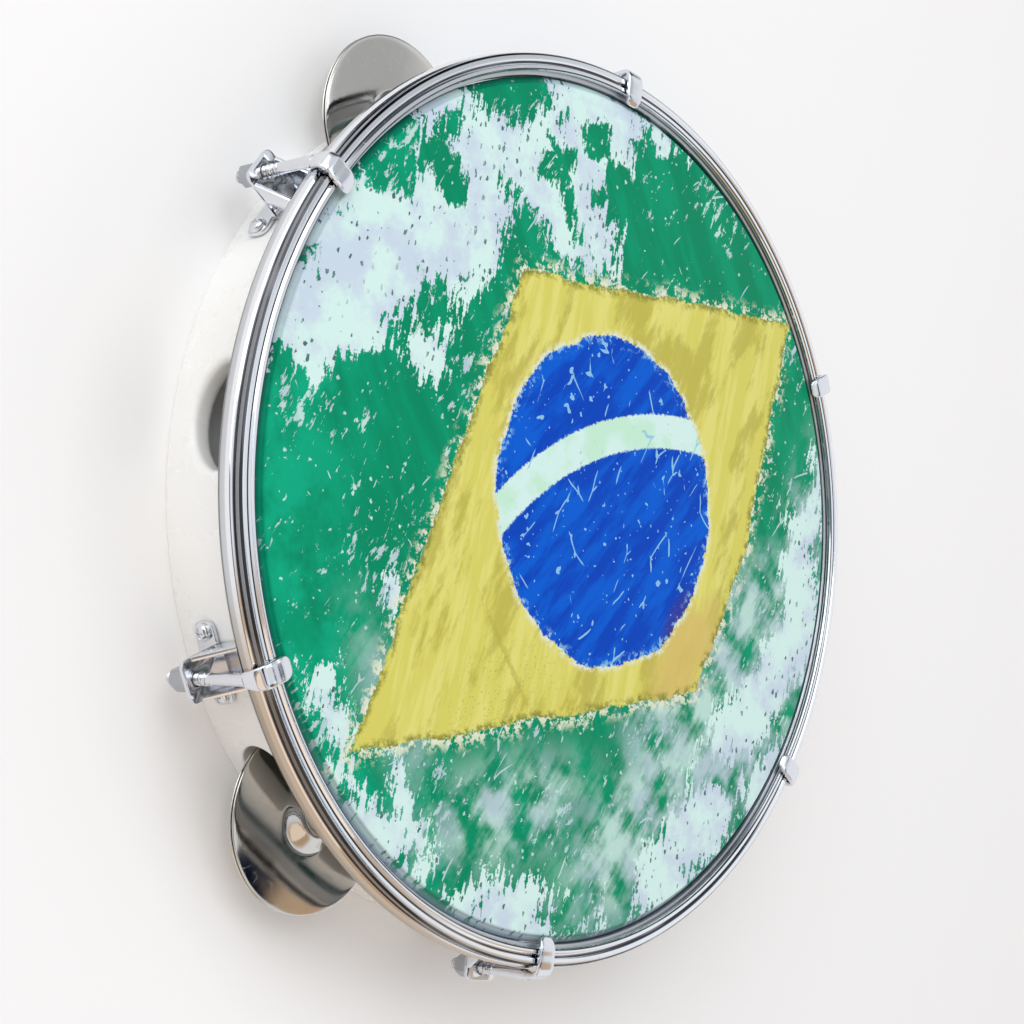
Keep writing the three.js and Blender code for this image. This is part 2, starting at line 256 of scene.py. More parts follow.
def in_scene(name: str, data: bpy.types.ID) -> bpy.types.Object:
    """A new object in the scene.

    Args:
        name: the object's name.
        data: its mesh, curve, lamp or lens.

    Returns:
        The object.
    """
    made = bpy.data.objects.new(name, data)
    bpy.context.scene.collection.objects.link(made)
    return made


def baked(holder: bpy.types.Object, *helpers: bpy.types.Object) -> Mesh:
    """The mesh that an object's curve or modifiers give, before it and its helpers are removed.

    Args:
        holder: the object.
        helpers: other objects that its modifiers use.

    Returns:
        The plain mesh.
    """
    graph = bpy.context.evaluated_depsgraph_get()
    made = bpy.data.meshes.new_from_object(holder.evaluated_get(graph))
    for used in (holder, *helpers):
        bpy.data.objects.remove(used)
    return made


def plate(
    name: str,
    outline: Sequence[Point],
    thickness: float,
    edge: float,
    holes: Sequence[Spot] = (),
    cuts: Sequence[float] = (),
) -> Mesh:
    """A flat plate with rounded edges, lying from z = 0 to its thickness.

    Args:
        name: the mesh's name.
        outline: the plate's outline in X and Y.
        thickness: the plate's thickness.
        edge: the radius that rounds its edges.
        holes: round holes, as X, Y and radius.
        cuts: places along X where the plate gets an edge across it, so that it can bend.

    Returns:
        The plate as a closed mesh.
    """
    curve = bpy.data.curves.new(name, "CURVE")
    curve.dimensions, curve.fill_mode = "2D", "BOTH"
    curve.extrude = thickness / 2 - edge
    curve.bevel_depth, curve.bevel_resolution, curve.offset = edge, 1, -edge
    hole_sides = 28
    turns = [side * FULL_TURN / hole_sides for side in range(hole_sides)]
    rings = [[(x + r * math.cos(t), y + r * math.sin(t)) for t in turns] for x, y, r in holes]
    for ring in [list(outline), *rings]:
        spline = curve.splines.new("POLY")
        spline.points.add(len(ring) - 1)
        spline.points.foreach_set("co", [value for x, y in ring for value in (x, y, 0.0, 1.0)])
        spline.use_cyclic_u = True
    mesh = baked(in_scene(name, curve))
    mesh.transform(Matrix.Translation((0, 0, thickness / 2)))
    tidied(mesh, PLATE_GAP)
    if cuts:
        work = bmesh.new()
        work.from_mesh(mesh)
        for x in cuts:
            parts = [*work.verts, *work.edges, *work.faces]
            bmesh.ops.bisect_plane(work, geom=parts, plane_co=(x, 0, 0), plane_no=(1, 0, 0))
        bmesh.ops.triangulate(work, faces=work.faces)
        work.to_mesh(mesh)
        work.free()
    return mesh


def joined(name: str, meshes: Sequence[Mesh]) -> Mesh:
    """Puts several meshes into one.

    Args:
        name: the new mesh's name.
        meshes: the meshes, each in place.

    Returns:
        The one mesh.
    """
    work = bmesh.new()
    for mesh in meshes:
        work.from_mesh(mesh)
    made = bpy.data.meshes.new(name)
    work.to_mesh(made)
    work.free()
    return made


def cut_from(mesh: Mesh, cutter: Mesh) -> Mesh:
    """Cuts one closed mesh out of another.

    Args:
        mesh: the mesh that stays.
        cutter: the mesh that is taken away.

    Returns:
        What is left of the first mesh.
    """
    whole, tool = in_scene("whole", mesh), in_scene("tool", cutter)
    cut = whole.modifiers.new("cut", "BOOLEAN")
    cut.operation, cut.solver, cut.object = "DIFFERENCE", "EXACT", tool
    return baked(whole, tool)


def smoothed(track: np.ndarray, steps: int) -> np.ndarray:
    """Fills a track of stations with points on a smooth curve through them all.

    Args:
        track: a row of values for each station.
        steps: how many points a stretch gets.

    Returns:
        A row of values for each point.
    """
    padded = np.concatenate([2 * track[:1] - track[1:2], track, 2 * track[-1:] - track[-2:-1]])
    made = []
    for index in range(1, len(track)):
        before, start, end, after = padded[index - 1 : index + 3]
        slope = end - before
        bend = 2 * before - 5 * start + 4 * end - after
        twist = 3 * start - before - 3 * end + after
        for t in (step / steps for step in range(steps)):
            made.append(0.5 * (2 * start + slope * t + bend * t**2 + twist * t**3))
    return np.array([*made, track[-1]])


# Nodes


def _sum(operation: str) -> "Callable[..., Wire]":
    """A method that makes one math node of a value and up to two others.

    Args:
        operation: the node's operation.

    Returns:
        The method.
    """

    def value(self: "Wire", *others: "Feed") -> "Wire":
        """The node's value."""
        inputs = dict(enumerate((self, *others)))
        return self.board.made("ShaderNodeMath", inputs, "Value", operation=operation)

    return value


@dataclass(frozen=True)
class Wire:
    """A node's output on its board, so that sums of outputs read as sums.

    Of two values, | is the larger and & the smaller, and a.times(b, c) is a * b + c in one node.
    """

    board: "NodeBoard"
    socket: bpy.types.NodeSocket

    __add__, __sub__, __mul__ = _sum("ADD"), _sum("SUBTRACT"), _sum("MULTIPLY")
    __or__, __and__, __lt__ = _sum("MAXIMUM"), _sum("MINIMUM"), _sum("LESS_THAN")
    __abs__, sine, times = _sum("ABSOLUTE"), _sum("SINE"), _sum("MULTIPLY_ADD")

    def __rsub__(self, other: float) -> "Wire":
        """A number less this value."""
        return self.board.made("ShaderNodeMath", {0: other, 1: self}, "Value", operation="SUBTRACT")

    def ramp(self, low: "Feed", high: "Feed") -> "Wire":
        """A smooth step from 0 where this value is low to 1 where it is high."""
        inputs = {"Value": self, "From Min": low, "From Max": high}
        return self.board.made("ShaderNodeMapRange", inputs, "Result", interpolation_type="SMOOTHSTEP")

    def spread(self, low: "Feed", high: "Feed") -> "Wire":
        """This value from 0 to 1, spread over low to high."""
        inputs = {"Value": self, "To Min": low, "To Max": high}
        return self.board.made("ShaderNodeMapRange", inputs, "Result")

    def sway(self, reach: float) -> "Wire":
        """A cloudy value from 0 to 1 as a shift to either side of nothing."""
        return (self - 0.5) * reach

    def mixed(self, under: "Feed", over: "Feed") -> "Wire":
        """One colour over another, with this value as the mask."""
        return self.board.blend(self, under, over)

    def vector(self, operation: str, *others: "Feed", output: str = "Vector") -> "Wire":
        """One sum of this vector and others."""
        inputs = dict(enumerate((self, *others)))
        return self.board.made("ShaderNodeVectorMath", inputs, output, operation=operation)

    def scaled(self, factor: "Feed") -> "Wire":
        """This vector times a number."""
        inputs = {0: self, "Scale": factor}
        return self.board.made("ShaderNodeVectorMath", inputs, "Vector", operation="SCALE")

    def length(self) -> "Wire":
        """How long this vector is."""
        return self.vector("LENGTH", output="Value")

    def distance(self, u: float, v: float) -> "Wire":
        """How far this place is from a spot on the flat."""
        return self.vector("DISTANCE", (u, v, 0), output="Value")

    def axis(self, letter: str) -> "Wire":
        """One of this vector's three values."""
        return self.board.made("ShaderNodeSeparateXYZ", {"Vector": self}, letter)

    def turned(self, turn: float, scale: Spot = (1, 1, 1), shift: Spot = (0, 0, 0)) -> "Wire":
        """Turns this place about Z in degrees, then scales it, then shifts it."""
        aside = self._mapped({"Rotation": (0, 0, math.radians(turn))})
        return aside._mapped({"Scale": scale, "Location": shift})

    def _mapped(self, inputs: dict[str, Spot]) -> "Wire":
        """This place through one mapping node."""
        return self.board.made("ShaderNodeMapping", {"Vector": self, **inputs}, "Vector")

    def noise(self, scale: "Feed", detail: float = 4.0, rough: float = 0.55, space: str = "3D") -> "Wire":
        """A cloudy value from 0 to 1 at this place."""
        inputs = {"Vector": self, "Scale": scale, "Detail": detail, "Roughness": rough}
        return self.board.made("ShaderNodeTexNoise", inputs, "Fac", noise_dimensions=space)

    def stain(self, scale: "Feed", detail: float = 4.0, rough: float = 0.55) -> "Wire":
        """A cloudy value from 0 to 1 on the flat, for print."""
        return self.noise(scale, detail, rough, "2D")


Feed = Wire | Material | Sequence[float] | float | None


class NodeBoard:
    """Lays out nodes in one tree and joins them."""

    def __init__(self, tree: bpy.types.NodeTree) -> None:
        """Starts with the tree as it is."""
        self.tree = tree

    def node(self, kind: str, **settings: object) -> bpy.types.Node:
        """Adds a node and sets its own properties.

        Args:
            kind: the node's type.
            settings: its own properties, by name.

        Returns:
            The node.
        """
        made = self.tree.nodes.new(kind)
        for name, value in settings.items():
            setattr(made, name, value)
        return made

    def feed(self, socket: bpy.types.NodeSocket, value: Feed) -> None:
        """Links an output into an input, or sets the input's own value.

        Args:
            socket: the input.
            value: the output or the value, or None to leave it alone.
        """
        if isinstance(value, Wire):
            self.tree.links.new(value.socket, socket)
        elif value is not None:
            socket.default_value = value

    def made(self, kind: str, inputs: dict[str | int, Feed], output: str, **settings: object) -> Wire:
        """Adds a node, feeds its named inputs and gives back one of its outputs.

        Args:
            kind: the node's type.
            inputs: what its inputs get, by name or number.
            output: the name of the output.
            settings: the node's own properties, by name.

        Returns:
            The output.
        """
        node = self.node(kind, **settings)
        for name, value in inputs.items():
            self.feed(node.inputs[name], value)
        return Wire(self, node.outputs[output])

    def blend(self, share: Feed, under: Feed, over: Feed) -> Wire:
        """One colour over another by a mask or a fixed share.

        Args:
            share: the mask or the share.
            under: the lower colour.
            over: the upper colour.

        Returns:
            The blended colour.
        """
        inputs = {"Factor": share, 6: under, 7: over}
        node = self.made("ShaderNodeMix", inputs, "Result", data_type="RGBA").socket.node
        return Wire(self, node.outputs[2])

    def given(self) -> dict[str, Wire]:
        """What a group's user hands in."""
        return {out.name: Wire(self, out) for out in self.node("NodeGroupInput").outputs if out.name}

    def give_back(self, name: str, value: Wire) -> None:
        """Hands a group's result to its user."""
        self.feed(self.node("NodeGroupOutput").inputs[name], value)


class MeshTree:
    """A Geometry Nodes tree that remakes a mesh. Each kind lays out its own shape."""

    NAME = ""
    INPUTS: dict[str, str] = {}

    def __init__(self) -> None:
        """Builds the tree once."""
        self.tree = bpy.data.node_groups.new(self.NAME, "GeometryNodeTree")
        face = self.tree.interface
        face.new_socket("Geometry", in_out="INPUT", socket_type="NodeSocketGeometry")
        self.sockets = {
            name: face.new_socket(name, in_out="INPUT", socket_type=f"NodeSocket{kind}").identifier
            for name, kind in {**self.INPUTS, "Finish": "Material"}.items()
        }
        face.new_socket("Geometry", in_out="OUTPUT", socket_type="NodeSocketGeometry")
        board = NodeBoard(self.tree)
        given = board.given()
        shape = self._shape(board, given)
        real = board.made("GeometryNodeRealizeInstances", {"Geometry": shape}, "Geometry")
        inputs = {"Geometry": real, "Material": given["Finish"]}
        board.give_back("Geometry", board.made("GeometryNodeSetMaterial", inputs, "Geometry"))

    def _shape(self, board: NodeBoard, given: dict[str, Wire]) -> Wire:
        """The tree's own nodes, from what is given to a geometry."""
        raise NotImplementedError

    def _run(self, mesh: Mesh, finish: Material, values: dict[str, float]) -> Mesh:
        """Runs the tree on a mesh. The values are named as the tree's inputs are.

        Args:
            mesh: the mesh.
            finish: its material.
            values: the inputs' values.

        Returns:
            The remade mesh.
        """
        holder = in_scene(mesh.name, mesh)
        live = holder.modifiers.new("nodes", "NODES")
        live.node_group = self.tree
        for name, value in {**values, "Finish": finish}.items():
            live[self.sockets[name]] = value
        return baked(holder)


class CopyRing(MeshTree):
    """Geometry Nodes that stand turned copies of a piece round the drum's axis."""

    NAME = "copies_round_the_axis"
    INPUTS = {"Count": "Int", "First Azimuth": "Float", "Step": "Float"}

    def _shape(self, board: NodeBoard, given: dict[str, Wire]) -> Wire:
        """The copies, each turned one step on from the last.

        Args:
            board: the tree's board.
            given: the tree's inputs.

        Returns:
            The copies.
        """
        index = board.made("GeometryNodeInputIndex", {}, "Index")
        turn = index.times(given["Step"], given["First Azimuth"])
        euler = board.made("ShaderNodeCombineXYZ", {"Z": turn}, "Vector")
        rotation = board.made("FunctionNodeEulerToRotation", {"Euler": euler}, "Rotation")
        points = board.made("GeometryNodePoints", {"Count": given["Count"]}, "Points")
        inputs = {"Points": points, "Instance": given["Geometry"], "Rotation": rotation}
        return board.made("GeometryNodeInstanceOnPoints", inputs, "Instances")

    def around(self, mesh: Mesh, finish: Material) -> Mesh:
        """A copy at each of the six hooks, as one mesh. The piece stands at azimuth 0."""
        values = {"Count": HOOK_COUNT, "First Azimuth": 0.0, "Step": math.radians(HOOK_STEP)}
        return self._run(mesh, finish, values)

    def at(self, mesh: Mesh, finish: Material, azimuth: float) -> Mesh:
        """One copy at an azimuth in degrees."""
        values = {"Count": 1, "First Azimuth": math.radians(azimuth), "Step": 0.0}
        return self._run(mesh, finish, values)


class RodThread(MeshTree):
    """Geometry Nodes that wind a screw thread round a rod."""

    NAME = "thread_on_a_rod"
    INPUTS = dict.fromkeys(("Radius", "Ridge", "Length", "Turns", "Rise", "Out"), "Float")

    def _shape(self, board: NodeBoard, given: dict[str, Wire]) -> Wire:
        """The rod with a ridge wound along a spiral.

        Args:
            board: the tree's board.
            given: the tree's inputs.

        Returns:
            The rod and its ridge together.
        """
        path = {
            "Resolution": 20,
            "Rotations": given["Turns"],
            "Start Radius": given["Radius"],
            "End Radius": given["Radius"],
            "Height": given["Length"],
        }
        spiral = board.made("GeometryNodeCurveSpiral", path, "Curve")
        section = {"Resolution": 4, "Radius": given["Ridge"]}
        ridge = board.made("GeometryNodeCurvePrimitiveCircle", section, "Curve")
        inputs = {"Curve": spiral, "Profile Curve": ridge, "Fill Caps": True}
        wound = board.made("GeometryNodeCurveToMesh", inputs, "Mesh")
        place = board.made("ShaderNodeCombineXYZ", {"X": given["Out"], "Z": given["Rise"]}, "Vector")
        inputs = {"Geometry": wound, "Translation": place}
        moved = board.made("GeometryNodeTransform", inputs, "Geometry")
        both = board.made("GeometryNodeJoinGeometry", {"Geometry": moved}, "Geometry")
        board.feed(both.socket.node.inputs["Geometry"], given["Geometry"])
        return both

    def wound_on(self, mesh: Mesh, finish: Material, **sizes: float) -> Mesh:
        """Adds the thread to a rod's mesh. The sizes are named as the tree's inputs are."""
        return self._run(mesh, finish, {name.title(): size for name, size in sizes.items()})


class ShaderBoard(NodeBoard):
    """A board for shaders."""

    def coordinates(self, kind: str) -> Wire:
        """One of the texture coordinates."""
        return self.made("ShaderNodeTexCoord", {}, kind)

    def effect(self, group: bpy.types.NodeTree, **inputs: Feed) -> Wire:
        """Places a shared effect with this finish's own values, named as its inputs are.

        Args:
            group: the effect's tree.
            inputs: the values, by name in small letters.

        Returns:
            What the effect puts out.
        """
        node = self.node("ShaderNodeGroup", node_tree=group)
        for name, value in inputs.items():
            self.feed(node.inputs[name.title()], value)
        return Wire(self, node.outputs[0])


class Effects:
    """The shader node groups that finishes share, each built once."""

    def __init__(self) -> None:
        """Builds every group."""
        self.patch = self._patch()
        self.scratches = self._scratches("3D")
        self.print_scratches = self._scratches("2D")
        self.specks = self._specks()
        self.mottle = self._mottle()

    @staticmethod
    def _board(name: str, output: str, *numbers: str) -> tuple[ShaderBoard, dict[str, Wire]]:
        """Starts a group that takes a place and some numbers, or a centre too, and gives a number.

        Args:
            name: the group's name.
            output: its output's name.
            numbers: its other inputs' names.

        Returns:
            The group's board and its inputs by name.
        """
        tree = bpy.data.node_groups.new(name, "ShaderNodeTree")
        for label in ("Place", *numbers):
            kind = "NodeSocketVector" if label in ("Place", "Centre") else "NodeSocketFloat"
            tree.interface.new_socket(label, in_out="INPUT", socket_type=kind)
        tree.interface.new_socket(output, in_out="OUTPUT", socket_type="NodeSocketFloat")
        board = ShaderBoard(tree)
        return board, board.given()

    @staticmethod
    def _wavy(given: dict[str, Wire], scale: Feed, push: float, space: str) -> Wire:
        """The scaled place, pushed about by a cloudy colour, so that cells lose their straight sides.

        Args:
            given: the group's inputs.
            scale: the scale of the cloudy colour.
            push: how far the place is pushed.
            space: 2D or 3D.

        Returns:
            The pushed place.
        """
        inputs = {"Vector": given["Place"], "Scale": scale, "Detail": 2.0}
        sway = given["Place"].board.made("ShaderNodeTexNoise", inputs, "Color", noise_dimensions=space)
        return given["Place"].scaled(given["Scale"]).vector("ADD", sway.scaled(push))

    def _patch(self) -> bpy.types.NodeTree:
        """How deep a point lies in a turned oval: the way in from its edge, in the place's units.

        Returns:
            The group's tree.
        """
        board, given = self._board("oval_patch", "Depth", "Centre", "Length", "Width", "Turn")
        inputs = {"Vector": given["Place"].vector("SUBTRACT", given["Centre"]), "Angle": given["Turn"] * -1.0}
        turned = board.made("ShaderNodeVectorRotate", inputs, "Vector", rotation_type="Z_AXIS")
        axes = {"X": given["Length"], "Y": given["Width"], "Z": 1e6}
        share = turned.vector("DIVIDE", board.made("ShaderNodeCombineXYZ", axes, "Vector")).length()
        board.give_back("Depth", (1.0 - share) * given["Width"])
        return board.tree

    def _scratches(self, space: str) -> bpy.types.NodeTree:
        """Thin broken lines, in space for solid pieces and on the flat for the print.

        Args:
            space: 2D or 3D.

        Returns:
            The group's tree.
        """
        board, given = self._board(f"broken_scratches_{space}", "Mask", "Scale", "Width", "Share")
        inputs = {"Vector": self._wavy(given, given["Scale"], 0.35, space), "Scale": 1.0}
        looks = {"voronoi_dimensions": space, "feature": "DISTANCE_TO_EDGE"}
        edge = board.made("ShaderNodeTexVoronoi", inputs, "Distance", **looks)
        broken = given["Place"].noise(given["Scale"], 2.0, space=space)
        gate = broken.ramp(1.0 - given["Share"], 1.06 - given["Share"])
        board.give_back("Mask", edge < given["Width"] * gate)
        return board.tree

    def _specks(self) -> bpy.types.NodeTree:
        """Scattered spots of uneven size and outline.

        Returns:
            The group's tree.
        """
        board, given = self._board("scattered_specks", "Mask", "Scale", "Size", "Share")
        inputs = {"Vector": self._wavy(given, given["Scale"] * 2.2, 0.55, "2D"), "Scale": 1.0}
        away = board.made("ShaderNodeTexVoronoi", inputs, "Distance", voronoi_dimensions="2D")
        cell = Wire(board, away.socket.node.outputs["Color"])
        chance = board.made("ShaderNodeSeparateColor", {"Color": cell}, "Red")
        growth = board.made("ShaderNodeSeparateColor", {"Color": cell}, "Green")
        inside = away < given["Size"] * growth.spread(0.35, 1.0)
        board.give_back("Mask", inside * (chance < given["Share"]))
        return board.tree

    def _mottle(self) -> bpy.types.NodeTree:
        """A soft uneven value between two bounds, as roughness is after handling.

        Returns:
            The group's tree.
        """
        board, given = self._board("soft_mottle", "Value", "Scale", "Low", "High")
        cloud = given["Place"].noise(given["Scale"], 5.0, 0.6)
        board.give_back("Value", cloud.ramp(0.3, 0.7).spread(given["Low"], given["High"]))
        return board.tree


# Finishes


class Coat(ShaderBoard):
    """A new material: its board and its Principled shader."""

    def __init__(self, name: str, effects: Effects) -> None:
        """Makes the material.

        Args:
            name: its name.
            effects: the shared effects.
        """
        self.material = bpy.data.materials.new(name)
        self.material.use_nodes = True
        super().__init__(self.material.node_tree)
        self.effects = effects
        self.shader = self.tree.nodes["Principled BSDF"]

    def set(self, name: str, value: Feed) -> None:
        """Feeds one of the shader's inputs."""
        self.feed(self.shader.inputs[name], value)

    def bump(self, height: Wire, strength: float = 1.0) -> None:
        """Shades the surface as if it were raised by a height in metres."""
        inputs = {"Height": height, "Distance": 1.0, "Strength": strength}
        self.set("Normal", self.made("ShaderNodeBump", inputs, "Normal"))

    def mottle(self, place: Wire, scale: float, low: float, high: float) -> Wire:
        """An uneven roughness between two bounds."""
        return self.effect(self.effects.mottle, place=place, scale=scale, low=low, high=high)

    def scratches(self, place: Wire, scale: float, width: float, share: float) -> Wire:
        """A mask of scratches on a solid piece."""
        looks = {"place": place, "scale": scale, "width": width, "share": share}
        return self.effect(self.effects.scratches, **looks)


@dataclass(frozen=True)
class BrightMetal:
    """A plated metal with fine wear. The hoop's colour adds painted shade in its grooves and under its bead,
    and a painted warm reflection on the bead.
    """

    name: str
    colour: Colour
    roughness: Point
    mottle_scale: float = 60.0
    scratch_share: float = 0.42
    scratch_scale: float = 350.0
    scratch_width: float = 0.012
    scratch_gloss: float = 0.12
    scratch_depth: float = 0.004 * MM
    wave_scale: float = 42.0
    wave_height: float = 0.0
    turned_rings: bool = False
    ring_pitch: float = 0.55 * MM
    ring_depth: float = 0.0011 * MM

    # Each groove's radius and half width
    grooves: tuple[Point, ...] = ()
    # Painted shade: the dark lines in the grooves
    groove_shade: Colour = srgb(22, 26, 34)
    # Painted shade on the underside of the bead
    under: Colour = srgb(58, 62, 70)
    # Painted warm reflection on the bead's low left side
    warm_reflection: Colour = srgb(196, 178, 158)
    bead_radii: Point = (154.5 * MM, 156.5 * MM)
    warm_azimuth: float = PRINT_TURN + math.radians(228)
    warm_reach: Point = (116 * MM, 144 * MM)
    warm_slope: Point = (0.95, 0.35)
    shade_slope: Point = (0.25, -0.5)
    # How sharp and how strong the painted shade in the grooves is
    groove_shade_edge: Point = (1.5, 0.6)
    groove_shade_share: Point = (0.7, 0.95)

    def material(self, effects: Effects) -> Material:
        """Builds the metal with uneven gloss, hairline scratches and, on a cup, its turning marks.

        Args:
            effects: the shared effects.

        Returns:
            The material.
        """
        coat = Coat(self.name, effects)
        place = coat.coordinates("Object")
        coat.set("Base Color", self._painted_light_colour(coat, place) if self.grooves else self.colour)
        coat.set("Metallic", 1.0)
        gloss = coat.mottle(place, self.mottle_scale, *self.roughness)
        lines = coat.scratches(place, self.scratch_scale, self.scratch_width, self.scratch_share)
        coat.set("Roughness", lines.times(self.scratch_gloss, gloss))
        height = lines * -self.scratch_depth
        if self.wave_height:
            height = place.noise(self.wave_scale, 1.0, 0.4).times(self.wave_height, height)
        if self.turned_rings:
            radius = coat.made("ShaderNodeUVMap", {}, "UV", uv_map=SPUN_UV).length()
            rings = (radius * (FULL_TURN / self.ring_pitch)).sine()
            height = rings.times(self.ring_depth, height)
        coat.bump(height)
        return coat.material

    def _painted_light_colour(self, coat: Coat, place: Wire) -> Wire:
        """The hoop's colour: a painted warm reflection on the bead at the low left, painted shade under the
        bead and painted shade in the grooves.

        Args:
            coat: the hoop's material.
            place: the place on it.

        Returns:
            The colour.
        """
        radius = place.vector("MULTIPLY", (1, 1, 0)).length()
        up = coat.coordinates("Normal").axis("Z")
        bead = radius.ramp(*self.bead_radii)
        # Painted warm reflection on the bead's low left side, where it faces down
        side = (math.cos(self.warm_azimuth), math.sin(self.warm_azimuth), 0)
        along = place.vector("DOT_PRODUCT", side, output="Value")
        warm = along.ramp(*self.warm_reach) * up.ramp(*self.warm_slope)
        metal = (warm * bead).mixed(self.colour, self.warm_reflection)
        # Painted shade on the bead where it faces down
        metal = (bead * up.ramp(*self.shade_slope)).mixed(metal, self.under)
        # Painted shade in the grooves, uneven round the hoop
        far, near = self.groove_shade_edge
        rings = [abs(radius - middle).ramp(half * far, half * near) for middle, half in self.grooves]
        uneven = place.noise(30.0, 2.0).ramp(0.25, 0.5)
        groove_shade = reduce(Wire.__or__, rings) * uneven.spread(*self.groove_shade_share)
        return groove_shade.mixed(metal, self.groove_shade)


@dataclass(frozen=True)
class WhiteLacquer:
    """Semi-gloss white lacquer over bent wood, whose grain shows faintly through."""

    name: str = "white_lacquer"
    fresh: Colour = srgb(242, 242, 240)
    handled: Colour = srgb(236, 235, 231)
    roughness: Point = (0.22, 0.36)
    grain_height: float = 0.03 * MM
    peel_height: float = 0.006 * MM

    def material(self, effects: Effects) -> Material:
        """Builds the lacquer: cloudy tone, scuffs along the wall and the grain's ripple.

        Args:
            effects: the shared effects.

        Returns:
            The material.
        """
        coat = Coat(self.name, effects)
        place = coat.coordinates("Object")
        scuffs = coat.scratches(place.turned(0, (1, 1, 4)), 90.0, 0.01, 0.34)
        tone = place.noise(14.0).ramp(0.42, 0.75) | scuffs * 0.55
        coat.set("Base Color", tone.mixed(self.fresh, self.handled))
        coat.set("Roughness", scuffs.times(0.15, coat.mottle(place, 40.0, *self.roughness)))
        grain = place.turned(0, (1, 1, 14)).noise(55.0, 3.0)
        peel = place.noise(700.0, 2.0)
        coat.bump(peel.times(self.peel_height, grain * self.grain_height))
        return coat.material


@dataclass(frozen=True)
class Patch:
    """An oval on the film, in millimetres: its centre, half length, half width and turn in degrees."""

    u: float
    v: float
    length: float
    width: float
    turn: float


def patches(*rows: tuple[float, float, float, float, float]) -> tuple[Patch, ...]:
    """Several ovals, each given by its own values in order."""
    return tuple(Patch(*row) for row in rows)


class PrintCoat(Coat):
    """The film's material, with the print's place and the cloudy values that its layers share."""

    def __init__(self, name: str, effects: Effects) -> None:
        """Makes the material, whose place is in millimetres on the flat in the print's frame.

        Args:
            name: its name.
            effects: the shared effects.
        """
        super().__init__(name, effects)
        self.whole = self.coordinates("Object")
        self.place = self.whole.turned(-math.degrees(PRINT_TURN), (1 / MM, 1 / MM, 0.0))
        self.rim = self.place.length()
        self.cloud = self.place.stain(0.045, 7.0, 0.62)
        self.grit = self.place.stain(0.75, 3.0, 0.6)

    def depth(self, *ovals: Patch) -> Wire:
        """How deep a point lies in the deepest of several ovals.

        Args:
            ovals: the ovals.

        Returns:
            The depth in millimetres, less than nothing outside them.
        """
        depths = [
            self.effect(
                self.effects.patch,
                place=self.place,
                centre=(oval.u, oval.v, 0),
                length=oval.length,
                width=oval.width,
                turn=math.radians(oval.turn),
            )
            for oval in ovals
        ]
        return reduce(Wire.__or__, depths)

    def streaks(
        self, turn: float, stretch: Point, scale: float, detail: float, rough: float, shift: Spot = (0, 0, 0)
    ) -> Wire:
        """A cloudy value drawn out along one direction."""
        return self.place.turned(turn, (*stretch, 1), shift).stain(scale, detail, rough)

    def specks(self, scale: float, size: float, share: float, place: Wire | None = None) -> Wire:
        """A mask of scattered spots."""
        looks = {"scale": scale, "size": size, "share": share}
        return self.effect(self.effects.specks, place=place or self.place, **looks)

    def lines(self, turn: float, squash: float, scale: float, width: float, share: float) -> Wire:
        """A mask of scratches that lie mostly along one direction.

        Args:
            turn: how far the print is turned first, in degrees.
            squash: how much it is then scaled across.
            scale: how many cells a millimetre has.
            width: how near to a cell's edge a scratch reaches.
            share: how much of the lines shows.

        Returns:
            The mask.
        """
        place = self.place.turned(turn, (1, squash, 1))
        looks = {"scale": scale, "width": width, "share": share}
        return self.effect(self.effects.print_scratches, place=place, **looks)


